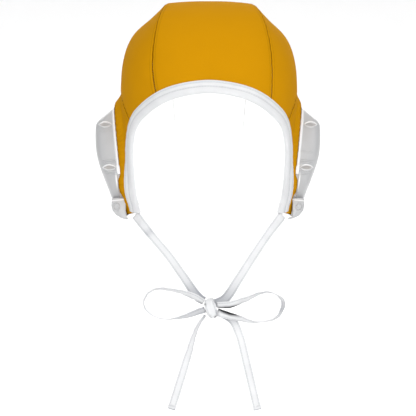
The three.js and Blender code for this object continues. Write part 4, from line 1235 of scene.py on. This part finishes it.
def ear_guard(name):
    side = SIDES[name]
    guard = guard_shell()
    raise_ribs(guard, name)
    for share in FACE_SLOTS:
        combine(guard, face_cutter(share * GUARD_HALF_HEIGHT), "DIFFERENCE")
    trim = [rim_nub(-side), lug_ring(side)]
    for share, out in WALL_SLOTS:
        middle = out * GUARD_DEPTH, share * GUARD_HALF_HEIGHT
        trim += [slot_lip(*middle, front) for front in (-1, 1)]
        combine(guard, slot_cutter(*middle, -side), "DIFFERENCE")
    low, high = (share * GUARD_HALF_HEIGHT for share in RIM_RELIEF_SPAN)
    relief = sorted((-1.7 * side, -80.0 * side))
    combine(guard, block((-RIM_RELIEF, relief[0], low), (RIM_RELIEF, relief[1], high)), "DIFFERENCE")
    combine(guard, guard_lug(side), "UNION")
    apply_modifier(guard, "BEVEL", width=0.28 * MM, segments=2, limit_method="ANGLE", angle_limit=0.7)
    for part in trim:
        part.select_set(True)
    bpy.ops.object.join()
    keep_vectors(guard, "guard", guard_marks(guard))
    keep_vectors(guard, "guard_glow", glow_faces(guard))
    seat = Matrix.Translation((side * (SEAT_OUT[name] + GUARD_GAP) * MM, GUARD_BACK * MM, -GUARD_FALL * MM))
    turn = Matrix.Rotation(math.pi if side < 0 else 0.0, 4, "Z")
    turn = turn @ Matrix.Rotation(math.atan(SEAT_LEAN), 4, "Y")
    guard.data.transform(seat @ turn)
    guard.name = f"ear_guard_{name}_cup"
    alone(guard)
    bpy.ops.object.shade_smooth_by_angle(angle=math.radians(38))
    guard.data.materials.clear()
    guard.data.materials.append(guard_plastic)
    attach(guard, "root")
    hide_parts(f"ear_guard_{name}")


for side_name in SIDES:
    ear_guard(side_name)


# The stage
# A plain pale floor that rises all round in one wide sweep, with broad soft lights over it.
FLOOR_FALL = -0.62
bpy.ops.object.select_all(action="DESELECT")
bpy.ops.mesh.primitive_grid_add(x_subdivisions=90, y_subdivisions=90, size=22)
floor = bpy.context.object
floor.name = "floor"
ground = np.array([v.co for v in floor.data.vertices])
ground[:, 2] = FLOOR_FALL + 0.16 * np.maximum(np.hypot(ground[:, 0], ground[:, 1]) - 3.2, 0) ** 2
floor.data.vertices.foreach_set("co", ground.ravel())
bpy.ops.object.shade_smooth()
pale = Finish(
    "pale_floor", {"Base Color": (0.93, 0.93, 0.93, 1), "Roughness": 0.9, "Specular IOR Level": 0.1})
floor.data.materials.append(pale.material)

world = bpy.data.worlds.new("soft_room")
bpy.context.scene.world = world
world.use_nodes = True
world.node_tree.nodes["Background"].inputs["Color"].default_value = (1, 1, 1, 1)
world.node_tree.nodes["Background"].inputs["Strength"].default_value = 0.56
# Each light's place, the point it is turned to, its size in metres and its power in watts
LIGHTS = [
    ("in_front", (0.0, -2.6, 0.1), (0.0, 0.0, -0.16), 1.2, 28),
    ("upper_left", (-1.6, -1.9, 1.3), (0.0, 0.0, -0.16), 1.6, 8),
    ("upper_right", (1.7, -1.7, 1.0), (0.0, 0.0, -0.16), 1.6, 14),
    ("overhead", (0.0, 0.4, 2.2), (0.0, 0.0, -0.16), 2.2, 18),
    ("behind", (0.0, 2.4, 0.9), (0.0, 0.0, -0.16), 2.0, 22),
    ("on_the_sweep", (0.0, 2.0, 1.6), (0.0, 4.6, -0.35), 1.6, 90),
]
for light_name, light_place, light_target, light_size, light_power in LIGHTS:
    bpy.ops.object.light_add(type="AREA", location=light_place)
    light = bpy.context.object
    light.name = light_name
    light.data.size = light_size
    light.data.energy = light_power
    light.visible_camera = False
    toward = Vector(light_target) - Vector(light_place)
    light.rotation_euler = toward.to_track_quat("-Z", "Y").to_euler()

# A soft lamp inside the cap keeps its white inner side as pale as the photo's
bpy.ops.object.light_add(type="POINT", location=(0.0, 0.012, -0.128))
glow = bpy.context.object
glow.name = "inside_glow"
glow.data.shadow_soft_size = 0.04
glow.data.energy = 0.16
glow.visible_camera = False
